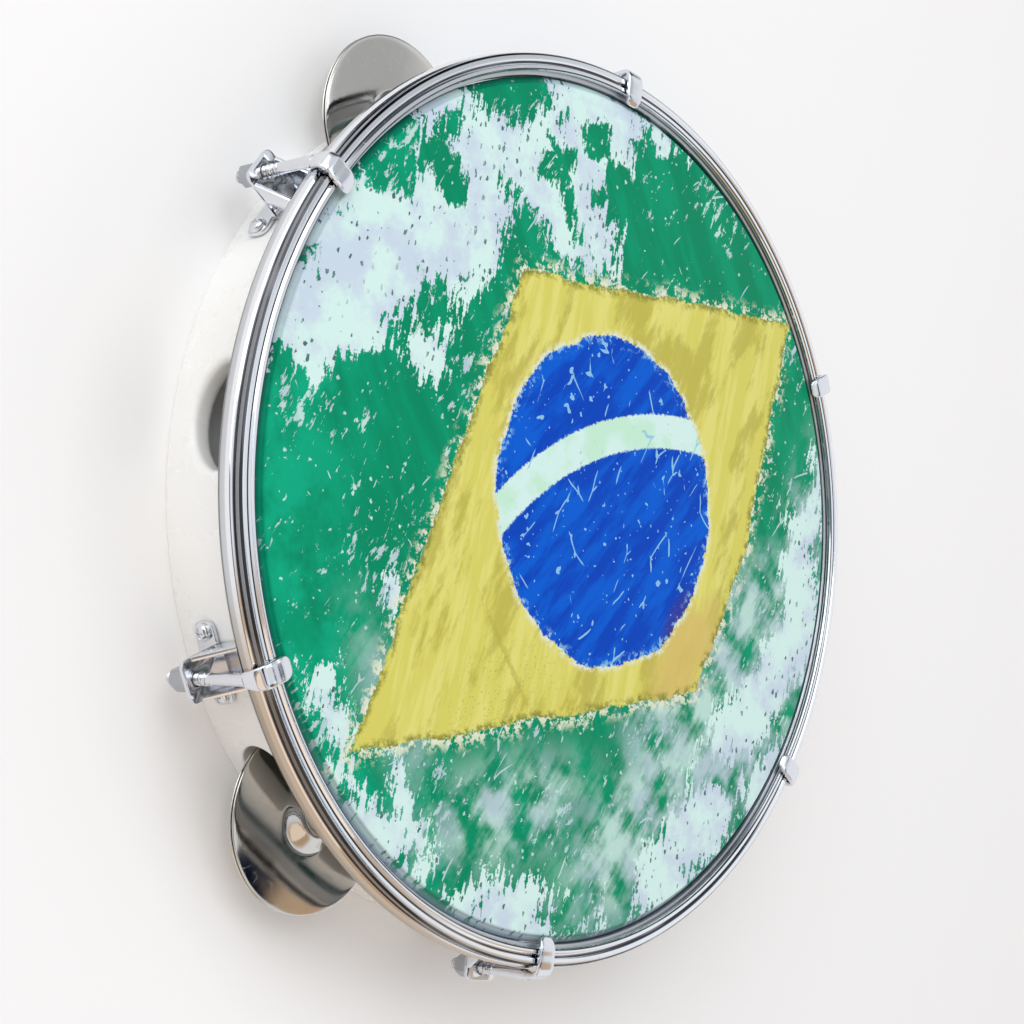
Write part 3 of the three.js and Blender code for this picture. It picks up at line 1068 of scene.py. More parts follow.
@dataclass(frozen=True)
class WornFlagPrint:
    """The worn painted flag on the film: green field, yellow rhombus, blue disc with a bare pale band.

    Places are in millimetres from the drum's axis in the print's frame: u to the right and v up,
    as the head is seen from the front.
    """

    name: str = "worn_flag_print"
    worn: tuple[Patch, ...] = patches(
        (-107, 71, 50, 21, 26), (-59, 93, 44, 19, 28), (-4, 121, 52, 18, 24), (-47, 117, 28, 13, 28),
        (22, 143, 44, 12, -4), (-124, 92, 24, 13, 42), (0, 100, 24, 17, -29), (-70, 128, 24, 9, 34),
        (133, -16, 30, 9, 70), (128, -52, 26, 14, 62), (100, -74, 52, 13, 40), (104, -106, 22, 12, 46),
        (56, -120, 44, 15, 36), (30, -136, 34, 9, 10), (-46, -136, 24, 12, -18), (-104, -101, 18, 8, -46),
        (-92, -92, 19, 3.5, -68), (-96, -25, 5, 3, 58), (-75, 48, 7, 5, 3), (-121, -66, 13, 5, -64),
    )
    restored: tuple[Patch, ...] = patches(
        (-29, 141, 14, 5.5, 20), (11, 129, 8, 5, 28), (22.5, 115, 7, 7, 0), (-9, 119, 11, 3.5, 24),
        (-3, 104, 14, 1.8, -68), (-32, 97, 10, 3, -72), (-88, 118, 13, 7, 35), (-64, 109, 12, 6, -50),
        (122, -78, 12, 5, 40), (62, -143, 16, 6, 30), (12, -137, 10, 8, 60),
    )
    washed: tuple[Patch, ...] = patches(
        (78, -70, 74, 42, 36), (-46, -100, 44, 18, 4), (-96, -62, 26, 10, -64), (30, -110, 60, 26, 30),
        (128, -20, 50, 16, 66),
    )
    warmed: Patch = Patch(54, -54, 26, 15, 34.3775)
    dusty: Patch = Patch(-45, -60, 34, 16, 14.3239)
    crease: Patch = Patch(-43, -50, 30, 1.6, -60.1606)
    bruise: Patch = Patch(50, -44, 15, 7, 51.5662)
    mid_green: Colour = srgb(5, 154, 112)
    deep_green: Colour = srgb(3, 138, 98)
    light_green: Colour = srgb(14, 172, 132)
    # rim_green colours the spatter dots and the painted shade on the collar; slate is the collar's painted
    # shade and reflection towards the low side
    rim_green: Colour = srgb(6, 88, 78)
    slate: Colour = srgb(126, 142, 157)
    ice: Colour = srgb(203, 219, 234)
    mint: Colour = srgb(214, 243, 238)
    yellow: Colour = srgb(217, 211, 104)
    light_yellow: Colour = srgb(226, 221, 124)
    olive: Colour = srgb(186, 176, 78)
    dark_olive: Colour = srgb(120, 124, 48)
    tan: Colour = srgb(216, 190, 112)
    cream: Colour = srgb(226, 232, 206)
    blue: Colour = srgb(4, 95, 214)
    deep_blue: Colour = srgb(4, 70, 190)
    violet: Colour = srgb(62, 52, 140)
    sky_fleck: Colour = srgb(150, 206, 236)
    band_mint: Colour = srgb(198, 238, 214)
    rhombus: tuple[Point, ...] = ((-29, 80), (128, 73), (92, -18), (60, -68), (-115, -75))
    disc_centre: Point = (12.4, 2.1)
    disc_radius: float = 58.0
    band_centre: Point = (42.6, -115.8)
    band_inner: float = 137.2
    band_outer: float = 149.5
    paint_edge: float = 0.35
    band_edge: float = 0.4
    collar_radii: Point = (146.0, 149.6)
    milk: Colour = srgb(228, 231, 229)
    milk_shade: Colour = srgb(219, 224, 223)
    milk_radius: float = 145.0
    half_way: float = 46.55 * MM
    show_through: float = 0.16
    roughness: Point = (0.28, 0.42)
    shine: float = 0.05
    grit_height: float = 0.02 * MM
    cloud_height: float = 0.05 * MM

    def material(self, effects: Effects) -> Material:
        """Builds the print in layers, from the worn field up to the scratches on the disc.

        Args:
            effects: the shared effects.

        Returns:
            The material.
        """
        coat = PrintCoat(self.name, effects)
        colour = self._disc(coat, self._rhombus(coat, self._field(coat)))
        behind = (coat.whole.axis("Z") < self.half_way) * (coat.rim < self.milk_radius)
        milk = coat.cloud.ramp(0.3, 0.7).mixed(self.milk, self.milk_shade)
        underside = coat.blend(self.show_through, milk, colour)
        coat.set("Base Color", behind.mixed(colour, underside))
        coat.set("Roughness", coat.grit.times(0.08, coat.mottle(coat.place, 0.05, *self.roughness)))
        coat.set("Specular IOR Level", self.shine)
        coat.bump(coat.grit.times(self.grit_height, coat.cloud * self.cloud_height), 0.6)
        return coat.material

    def _field(self, coat: PrintCoat) -> Wire:
        """The green field with its worn pale places, spatter and washed streaks, and painted shade and
        reflection on its collar.

        Args:
            coat: the film's material.

        Returns:
            The field's colour.
        """
        place, cloud, rim = coat.place, coat.cloud, coat.rim
        left, low = place.axis("X"), place.axis("Y")
        green = coat.streaks(-24, (1, 0.22), 0.09, 5.0, 0.6).ramp(0.36, 0.7)
        green = green.mixed(self.deep_green, self.mid_green)
        lighter = rim.ramp(96.0, 140.0) * left.ramp(-60.0, -110.0) * cloud.ramp(0.35, 0.62)
        green = lighter.mixed(green, self.light_green)

        spikes = coat.streaks(14, (1, 0.16), 0.42, 4.0, 0.6)
        wander = cloud.sway(44.0) + (spikes.sway(26.0) + coat.grit.sway(9.0))
        depth = coat.depth(*self.worn) + wander
        kept = coat.depth(*self.restored) + wander * 0.45
        bare = depth.ramp(-0.5, 0.5) * kept.ramp(0.5, -0.5)

        streak = coat.streaks(-46, (0.16, 1), 0.3, 6.0, 0.68)
        thinness = streak.times(0.45, place.stain(0.07, 4.0, 0.5) * 0.9)
        thin = coat.depth(*self.washed).ramp(-10.0, 16.0) * thinness.ramp(0.5, 0.82)

        gather = place.stain(0.028, 3.0).sway(0.42)
        torn = coat.streaks(-48, (0.42, 1), 0.26, 6.0, 0.68) + gather
        scraped = coat.streaks(-62, (0.2, 1), 0.5, 5.0, 0.7, (13, 5, 0)) + gather
        flakes = torn.ramp(0.645, 0.66) | scraped.ramp(0.69, 0.705)
        lines = coat.lines(52, 0.4, 0.1, 0.026, 0.35) | coat.lines(-24, 0.5, 0.22, 0.036, 0.29)
        marks = lines | (coat.specks(0.4, 0.26, 0.07) | flakes)

        pale = cloud.ramp(0.4, 0.62).mixed(self.ice, self.mint)
        colour = ((bare | thin * 0.76) | marks * 0.76).mixed(green, pale)
        dots = coat.specks(0.4, 0.27, 0.26, place.turned(18, (1, 0.6, 1)))
        dots = dots * (depth.ramp(26.0, 4.0) * bare)
        colour = (dots * 0.9).mixed(colour, self.rim_green)

        # Painted shade and reflection on the collar, where the film bends down under the hoop: dark teal,
        # slate towards the low side, weaker where the print is worn bare above
        shade = low.ramp(-55.0, -110.0).mixed(self.rim_green, self.slate)
        worn_edge = bare * low.ramp(18.0, 40.0)
        collar = cloud.times(1.2, rim).ramp(*self.collar_radii) * worn_edge.spread(0.92, 0.3)
        return collar.mixed(colour, shade)

    def _rhombus(self, coat: PrintCoat, under: Wire) -> Wire:
        """The yellow rhombus with its brush strokes, dark edges and the bare fringe round it.

        Args:
            coat: the film's material.
            under: the field's colour.

        Returns:
            The colour with the rhombus on it.
        """
        place, cloud = coat.place, coat.cloud
        u, v = place.axis("X"), place.axis("Y")
        insides = []
        for (u0, v0), (u1, v1) in zip(self.rhombus, self.rhombus[1:] + self.rhombus[:1]):
            length = math.hypot(u1 - u0, v1 - v0)
            out_u, out_v = (v1 - v0) / length, (u0 - u1) / length
            insides.append(u.times(out_u, v.times(out_v, -out_u * u0 - out_v * v0)))
        rough = coat.grit.sway(3.0)
        depth = reduce(Wire.__and__, insides) + (cloud.sway(7.0) + rough)
        frayed = place.stain(0.22, 6.0, 0.7)
        colour = (depth.ramp(-7.0, -0.5) * frayed.ramp(0.5, 0.56)).mixed(under, self.cream)

        strokes = coat.streaks(20, (1, 0.13), 0.13, 5.0, 0.62).ramp(0.42, 0.6)
        paint = strokes.mixed(self.yellow, self.light_yellow)
        shade = coat.streaks(32, (1, 0.3), 0.055, 6.0, 0.66, (40, 7, 0)).ramp(0.5, 0.62)
        warm = cloud.times(16.0, coat.depth(self.warmed)).ramp(6.0, 14.0)
        grains = coat.specks(0.9, 0.3, 0.25) * coat.depth(self.dusty).ramp(-4.0, 8.0)
        crease = (coat.depth(self.crease) + rough).ramp(0.0, 1.2)
        edge = depth.ramp(3.5, 0.3) * frayed.ramp(0.42, 0.56)
        for mask, share, over in (
            (shade, 0.75, self.olive),
            (warm, 0.8, self.tan),
            (grains, 0.7, self.olive),
            (crease, 0.6, self.olive),
            (edge, 0.85, self.dark_olive),
        ):
            paint = (mask * share).mixed(paint, over)
        return depth.ramp(-self.paint_edge, self.paint_edge).mixed(colour, paint)

    def _disc(self, coat: PrintCoat, under: Wire) -> Wire:
        """The blue disc with its bare pale band, flecks and scratches.

        Args:
            coat: the film's material.
            under: the colour with the rhombus on it.

        Returns:
            The whole print's colour.
        """
        place, cloud = coat.place, coat.cloud
        rough = coat.grit.sway(2.4)
        depth = self.disc_radius - (place.distance(*self.disc_centre) + (cloud.sway(7.0) + rough))
        chips = place.stain(0.3, 5.0, 0.7)
        colour = (depth.ramp(-2.6, -0.4) * chips.ramp(0.42, 0.5)).mixed(under, self.cream)

        strokes = coat.streaks(-40, (0.22, 1), 0.12, 4.0, 0.6).ramp(0.38, 0.62)
        paint = strokes.mixed(self.deep_blue, self.blue)
        paint = (coat.depth(self.bruise).ramp(-3.0, 3.0) * 0.75).mixed(paint, self.violet)
        small = coat.specks(0.5, 0.19, 0.08)
        lines = coat.lines(38, 0.3, 0.13, 0.03, 0.4)
        marks = (coat.specks(0.2, 0.19, 0.13) | small) | (lines | coat.lines(-30, 0.4, 0.1, 0.028, 0.37))
        marks = marks | depth.ramp(4.0, 0.0) * chips.ramp(0.53, 0.6)
        paint = (marks * 0.85).mixed(paint, self.sky_fleck)

        out = place.distance(*self.band_centre) + rough * 0.9
        edge = self.band_edge
        band = out.ramp(self.band_inner - edge, self.band_inner + edge)
        band = band * out.ramp(self.band_outer + edge, self.band_outer - edge)
        pale = cloud.ramp(0.4, 0.6).mixed(self.band_mint, self.mint)
        paint = (band * (1.0 - (lines | small) * 0.8)).mixed(paint, pale)
        return depth.ramp(-self.paint_edge, self.paint_edge).mixed(colour, paint)


class Finishes:
    """The materials of the drum, each made once."""

    # The hoop's grooves, each radius and half width, where painted shade darkens its colour
    GROOVES = ((150.9 * MM, 0.22 * MM), (153.25 * MM, 0.3 * MM), (155.95 * MM, 0.42 * MM))

    def __init__(self) -> None:
        """Builds the shared effects and every material."""
        effects = Effects()
        self.lacquer = WhiteLacquer().material(effects)
        self.film = WornFlagPrint().material(effects)
        hoop = BrightMetal("hoop_chrome", srgb(234, 236, 240), (0.05, 0.12), grooves=self.GROOVES)
        chrome = BrightMetal("hardware_chrome", srgb(222, 224, 229), (0.07, 0.18))
        nickel = BrightMetal(
            "spun_nickel",
            srgb(208, 205, 199),
            (0.05, 0.13),
            mottle_scale=40.0,
            scratch_share=0.46,
            wave_height=0.16 * MM,
            turned_rings=True,
        )
        damper = BrightMetal("damper_plate", srgb(196, 194, 189), (0.22, 0.4), 50.0, 0.5, turned_rings=True)
        steel = BrightMetal("plated_steel", srgb(176, 179, 184), (0.16, 0.34))
        alloy = BrightMetal("drawn_alloy", srgb(190, 192, 196), (0.28, 0.45))
        metals = (hoop, chrome, nickel, damper, steel, alloy)
        made = [metal.material(effects) for metal in metals]
        self.hoop, self.chrome, self.nickel, self.damper, self.steel, self.alloy = made


# Pieces


def add_piece(name: str, mesh: Mesh, finish: Material, body: str, nodes: Sequence[str]) -> None:
    """Puts a finished mesh in the scene in place of CAD nodes.

    Args:
        name: the piece's name.
        mesh: its mesh, in place.
        finish: its material.
        body: the CAD body that it rides on.
        nodes: the CAD nodes that it stands for.
    """
    mesh.materials.clear()
    mesh.materials.append(finish)
    mesh.shade_smooth()
    mesh.set_sharp_from_angle(angle=SHARP_ANGLE)
    made = in_scene(name, mesh)
    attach(made, body)
    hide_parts(*nodes)
    LOG.info("%s: %d faces", name, len(mesh.polygons))


@dataclass
class Shell:
    """The lacquered wooden ring with its five jingle slots and its thumb hole."""

    radius: float = SHELL_RADIUS
    wall: float = 8 * MM
    depth: float = 46 * MM
    front_round: float = 1.5 * MM
    back_round: float = 0.7 * MM
    slot_half_length: float = 33.5 * MM
    slot_half_height: float = 9 * MM
    slot_middle: float = 15.2 * MM
    slot_round: float = 0.9 * MM
    thumb_half_length: float = 17 * MM
    thumb_half_height: float = 12 * MM
    thumb_middle: float = 23 * MM
    thumb_round: float = 2.6 * MM
    recess_radius: float = 2.7 * MM
    recess_depth: float = 1.6 * MM
    columns: int = 64
    rows: int = 30
    bands: int = 7
    crowding: float = 1.6
    round_steps: int = 5
    edge_flats: int = 3

    def build(self, finish: Material) -> None:
        """Makes the ring bay by bay, then sinks the recesses for the pins' heads.

        Args:
            finish: the lacquer.
        """
        holes = {azimuth: False for azimuth in JINGLE_AZIMUTHS.values()} | {THUMB_HOLE_AZIMUTH: True}
        bays = []
        for azimuth, is_thumb in sorted(holes.items()):
            start = azimuth // HOOK_STEP * HOOK_STEP
            turns = [math.radians(edge - azimuth) for edge in (start, start + HOOK_STEP)]
            bay = self._bay(*turns, is_thumb)
            bay.transform(Matrix.Rotation(math.radians(azimuth), 4, "Z"))
            bays.append(bay)
        ring = tidied(joined("shell_ring", bays), SEAM_GAP)
        ring = cut_from(ring, self._recesses())
        add_piece("shell_dressed", ring, finish, DRUM_BODY, ["shell"])

    def _recesses(self) -> Mesh:
        """The five round sinks in the back edge.

        Returns:
            The sinks' solids as one mesh.
        """
        wide, deep = self.recess_radius, self.recess_depth
        sinks = []
        for azimuth in JINGLE_AZIMUTHS.values():
            sink = revolved("sink", [(0, -deep), (wide, -deep), (wide, deep), (0, deep)], 32)
            turn = Matrix.Rotation(math.radians(azimuth), 4, "Z")
            sink.transform(turn @ Matrix.Translation((self.radius - self.wall / 2, 0, 0)))
            sinks.append(sink)
        return joined("sinks", sinks)

    def _hole_edge(self, angle: float, is_thumb: bool) -> tuple[Point, Point]:
        """A hole's edge in one direction from its middle: the point and the way out from the edge.

        Args:
            angle: the direction, in radians from the way along the wall.
            is_thumb: whether the hole is the thumb's.

        Returns:
            The point, along and up from the middle, and the way out, one unit long.
        """
        along, up = math.cos(angle), math.sin(angle)
        if is_thumb:
            a, b = self.thumb_half_length, self.thumb_half_height
            reach = 1 / math.hypot(along / a, up / b)
            y, z = reach * along, reach * up
            normal = Vector((y / a**2, z / b**2)).normalized()
            return (y, z), (normal.x, normal.y)
        end = self.slot_half_height
        straight = self.slot_half_length - end
        if abs(up) > 1e-9 and abs(end * along / up) <= straight:
            side = math.copysign(1, up)
            return (end * along / abs(up), side * end), (0.0, side)
        centre = math.copysign(straight, along)
        reach = along * centre + math.sqrt(max(end**2 - (up * centre) ** 2, 0.0))
        y, z = reach * along, reach * up
        return (y, z), ((y - centre) / end, z / end)

    def _bay(self, start: float, end: float, is_thumb: bool) -> Mesh:
        """One sixth of the ring round its hole: outer wall, hole, inner wall and both edges.

        Args:
            start: the azimuth of the bay's start from the hole's middle, in radians.
            end: the same for its end.
            is_thumb: whether the hole is the thumb's, and not a jingle slot.

        Returns:
            The bay with its hole at azimuth 0, open where it meets its neighbours.
        """
        hole_height = self.thumb_middle if is_thumb else self.slot_middle
        ease = self.thumb_round if is_thumb else self.slot_round
        low, high = self.back_round, self.depth - self.front_round
        across = np.linspace(start, end, self.columns + 1)
        upward = np.linspace(low, high, self.rows + 1)
        border = [(a, low) for a in across[:-1]] + [(across[-1], z) for z in upward[:-1]]
        border += [(a, high) for a in across[:0:-1]] + [(across[0], z) for z in upward[:0:-1]]
        inner, middle = self.radius - self.wall, self.radius - self.wall / 2
        edges = [self._hole_edge(math.atan2(z - hole_height, a * middle), is_thumb) for a, z in border]

        def wall_ring(radius: float, share: float) -> list[Spot]:
            """One loop between the bay's border, at share 1, and the hole's rounded edge, at share 0.

            Args:
                radius: the wall's radius.
                share: where the loop lies.

            Returns:
                The loop's points.
            """
            loop = []
            for (a, z), ((y, rise), (out_y, out_z)) in zip(border, edges):
                angle = a * share + math.asin((y + out_y * ease) / radius) * (1 - share)
                height = z * share + (hole_height + rise + out_z * ease) * (1 - share)
                loop.append((radius * math.cos(angle), radius * math.sin(angle), height))
            return loop

        def turn_ring(radius: float, inwards: int, step: int) -> list[Spot]:
            """One loop on the rounded edge between a wall and the hole.

            Args:
                radius: the wall's radius.
                inwards: -1 on the outer wall and 1 on the inner one.
                step: how far round the edge the loop lies.

            Returns:
                The loop's points.
            """
            turn = step / self.round_steps * math.pi / 2
            away, sunk = ease * (1 - math.sin(turn)), ease * (1 - math.cos(turn))
            loop = []
            for (y, rise), (out_y, out_z) in edges:
                side = y + out_y * away
                x = math.sqrt(radius**2 - side**2) + inwards * sunk
                loop.append((x, side, hole_height + rise + out_z * away))
            return loop

        shares = [(1 - band / self.bands) ** self.crowding for band in range(self.bands + 1)]
        steps = range(1, self.round_steps + 1)
        rings = [wall_ring(self.radius, share) for share in shares]
        rings += [turn_ring(self.radius, -1, step) for step in steps]
        rings += [turn_ring(inner, 1, step) for step in reversed(steps)]
        rings += [wall_ring(inner, share) for share in reversed(shares)]
        points = [point for ring in rings for point in ring]
        faces = grid_faces(len(rings), len(border), wrap_rows=False, wrap_columns=True)
        for height, edge, side in ((0.0, self.back_round, -1), (self.depth, self.front_round, 1)):
            strip = self._edge_strip(across, height, edge, side)
            quads = grid_faces(len(strip), len(across), wrap_rows=False, wrap_columns=False)
            faces += [tuple(len(points) + index for index in quad) for quad in quads]
            points += [point for row in strip for point in row]
        return raw_mesh("bay", points, faces)

    def _edge_strip(self, across: np.ndarray, height: float, ease: float, side: int) -> list[list[Spot]]:
        """The rounded front or back edge of a bay, from the outer wall over to the inner one.

        Args:
            across: the azimuths of its columns.
            height: the edge's height.
            ease: the radius that rounds it.
            side: 1 at the front and -1 at the back.

        Returns:
            The points, row by row.
        """
        turns = [step / self.round_steps * math.pi / 2 for step in range(self.round_steps + 1)]
        bend = [(ease * (1 - math.cos(turn)), height - side * ease * (1 - math.sin(turn))) for turn in turns]
        inner = self.radius - self.wall
        start, stop = self.radius - ease, inner + ease
        profile = [(self.radius - sunk, z) for sunk, z in bend]
        flats = [step / self.edge_flats for step in range(1, self.edge_flats)]
        profile += [(start + (stop - start) * share, height) for share in flats]
        profile += [(inner + sunk, z) for sunk, z in reversed(bend)]
        return [[(r * math.cos(a), r * math.sin(a), z) for a in across] for r, z in profile]


@dataclass
class Head:
    """The plastic film with its collar and skirt, and the alloy ring that grips the skirt."""

    underside: float = 46.3 * MM
    thickness: float = 0.5 * MM
    flat_radius: float = 40 * MM
    collar_radius: float = 146.3 * MM
    shoulder: float = 1.2 * MM
    bend: float = 1.0 * MM
    collar_width: float = 2.0 * MM
    collar_drop: float = 2.6 * MM
    skirt: float = 6.4 * MM
    skirt_round: float = 0.2 * MM
    ring_inner: float = 149.1 * MM
    ring_outer: float = 153.6 * MM
    ring_low: float = 39.8 * MM
    ring_high: float = 45.8 * MM
    ring_round: float = 0.6 * MM
    segments: int = 360

    def build(self, film: Material, alloy: Material) -> None:
        """Makes the film and the ring.

        Args:
            film: the film's material.
            alloy: the ring's material.
        """
        under, top, bend = self.underside, self.underside + self.thickness, self.bend
        wall = self.collar_radius + self.collar_width
        corners = [
            (wall + self.thickness, top - self.skirt, self.skirt_round),
            (wall + self.thickness, top - self.collar_drop, bend),
            (self.collar_radius + self.thickness, top - self.shoulder, bend),
            (self.collar_radius, top, bend),
            (self.flat_radius, top, 0),
            (0, top, 0),
            (0, under, 0),
            (self.flat_radius, under, 0),
            (self.collar_radius - self.shoulder, under, bend),
            (self.collar_radius, under - self.shoulder, bend),
            (wall, under - self.collar_drop, bend),
            (wall, top - self.skirt, self.skirt_round),
        ]
        skin = revolved("film", rounded(corners, 5), self.segments)
        add_piece("printed_head", skin, film, DRUM_BODY, ["drumhead"])
        low, high = (self.ring_inner, self.ring_low), (self.ring_outer, self.ring_high)
        ring = revolved("flesh_ring", rounded_box(low, high, self.ring_round), self.segments)
        add_piece("flesh_ring", ring, alloy, DRUM_BODY, ["flesh_hoop"])


@dataclass
class Counterhoop:
    """The chromed counterhoop: inner lip, stepped face, neck and round bead."""

    inner: float = 150.4 * MM
    outer: float = 157.5 * MM
    skirt: float = 153.9 * MM
    top: float = 48.1 * MM
    bottom: float = 38.1 * MM
    flange_under: float = 46.1 * MM
    fold: float = 0.4 * MM
    segments: int = 400

    # Share of the hoop's width, share of its height, and the corner's radius in millimetres
    face: tuple[Spot, ...] = (
        (0.0, 0.93, 0.3), (0.05, 1.0, 0.35), (0.26, 1.0, 0.4), (0.36, 0.93, 0.35), (0.42, 0.93, 0.35),
        (0.5, 0.99, 0.35), (0.72, 0.99, 0.5), (0.84, 0.93, 0.6), (0.84, 0.76, 0.6), (0.76, 0.69, 0.5),
        (0.93, 0.585, 1.2), (1.0, 0.43, 1.4), (1.0, 0.18, 1.4), (0.9, 0.02, 1.0), (0.78, 0.0, 0.6),
    )

    def build(self, finish: Material) -> None:
        """Revolves the section.

        Args:
            finish: the hoop's material.
        """
        width, height = self.outer - self.inner, self.top - self.bottom
        corners = [
            (self.inner + across * width, self.bottom + up * height, radius * MM)
            for across, up, radius in self.face
        ]
        corners += [
            (self.skirt, self.bottom, self.fold),
            (self.skirt, self.flange_under, self.fold),
            (self.inner, self.flange_under, self.fold),
        ]
        mesh = revolved("hoop", rounded(corners, 5), self.segments)
        add_piece("bright_hoop", mesh, finish, DRUM_BODY, ["counterhoop"])


@dataclass
class Hook:
    """The tension hook at azimuth 0: claw, bend and threaded rod."""

    rod_radius: float = 1.9 * MM
    rod_end: float = 7.5 * MM
    claw_tip: float = 147.2 * MM
    claw_height: float = 49.2 * MM
    claw_half_width: float = 3.8 * MM
    claw_half_thickness: float = 0.8 * MM
    hoop_height: float = 10 * MM
    tip_share: float = 0.62
    tip_round: float = 0.35 * MM
    end_share: float = 0.72
    end_round: float = 0.5 * MM
    thread_low: float = 8.2 * MM
    thread_high: float = 27.5 * MM
    thread_turns: int = 24
    thread_ridge: float = 0.28 * MM
    thread_sunk: float = 0.1 * MM
    squareness: float = 0.6
    section_sides: int = 28
    station_steps: int = 7

    # Shares out from the claw's tip, down from the claw, and of the claw's width and flatness
    stations: tuple[tuple[float, float, float, float], ...] = (
        (0.0, 0.1, 0.3, 1.0), (0.1, 0.045, 0.72, 1.0), (0.25, 0.0, 0.97, 1.0), (0.45, 0.0, 1.0, 1.0),
        (0.66, 0.0, 1.0, 1.0), (0.84, 0.04, 0.95, 0.95), (0.96, 0.17, 0.8, 0.85), (1.0, 0.36, 0.62, 0.65),
        (1.0, 0.62, 0.4, 0.4), (1.0, 0.98, 0.0, 0.0),
    )

    def mesh(self, thread: RodThread, finish: Material) -> Mesh:
        """The hook as one smooth loft, with its thread.

        Args:
            thread: the tree that winds threads.
            finish: the hook's material.

        Returns:
            The hook and its thread as one mesh.
        """
        span, rod = ROD_AXIS - self.claw_tip, self.rod_radius
        stations = [
            (
                self.claw_tip + out * span,
                self.claw_height - down * self.hoop_height,
                rod + wide * (self.claw_half_width - rod),
                rod + flat * (self.claw_half_thickness - rod),
                flat,
            )
            for out, down, wide, flat in self.stations
        ]
        stations.append((ROD_AXIS, self.rod_end + self.end_round, rod, rod, 0.0))
        track = smoothed(np.array(stations), self.station_steps)
        rings = []
        for index, station in enumerate(track):
            before, after = track[max(index - 1, 0)], track[min(index + 1, len(track) - 1)]
            along = Vector((after[0] - before[0], after[1] - before[1])).normalized()
            rings.append(self._section(along, *station))
        tip = self._shrunk(rings[0], self.tip_share, (-self.tip_round, 0, 0))
        end = self._shrunk(rings[-1], self.end_share, (0, 0, -self.end_round))
        return thread.wound_on(
            lofted("hook", [tip, *rings, end]),
            finish,
            radius=rod - self.thread_sunk,
            ridge=self.thread_ridge,
            length=self.thread_high - self.thread_low,
            turns=self.thread_turns,
            rise=self.thread_low,
            out=ROD_AXIS,
        )

    def _section(
        self, along: Vector, x: float, z: float, half_width: float, half_thick: float, flat: float
    ) -> np.ndarray:
        """One ring of points round the hook: flat on the claw, round on the rod.

        Args:
            along: the way the hook runs.
            x: the ring's distance from the drum's axis.
            z: its height.
            half_width: half its width.
            half_thick: half its thickness.
            flat: 1 for a flat strip and 0 for a round rod.

        Returns:
            The ring's points.
        """
        power = 1 - self.squareness * flat
        points = []
        for side in range(self.section_sides):
            angle = (side + 0.5) / self.section_sides * FULL_TURN
            ways = (math.cos(angle), math.sin(angle))
            wide, thick = (math.copysign(abs(way) ** power, way) for way in ways)
            out, up = -along.y * thick * half_thick, along.x * thick * half_thick
            points.append((x + out, wide * half_width, z + up))
        return np.array(points)

    @staticmethod
    def _shrunk(ring: np.ndarray, share: float, shift: Spot) -> np.ndarray:
        """A ring drawn in towards its middle, which rounds off an end."""
        middle = ring.mean(0)
        return middle + (ring - middle) * share + np.array(shift)


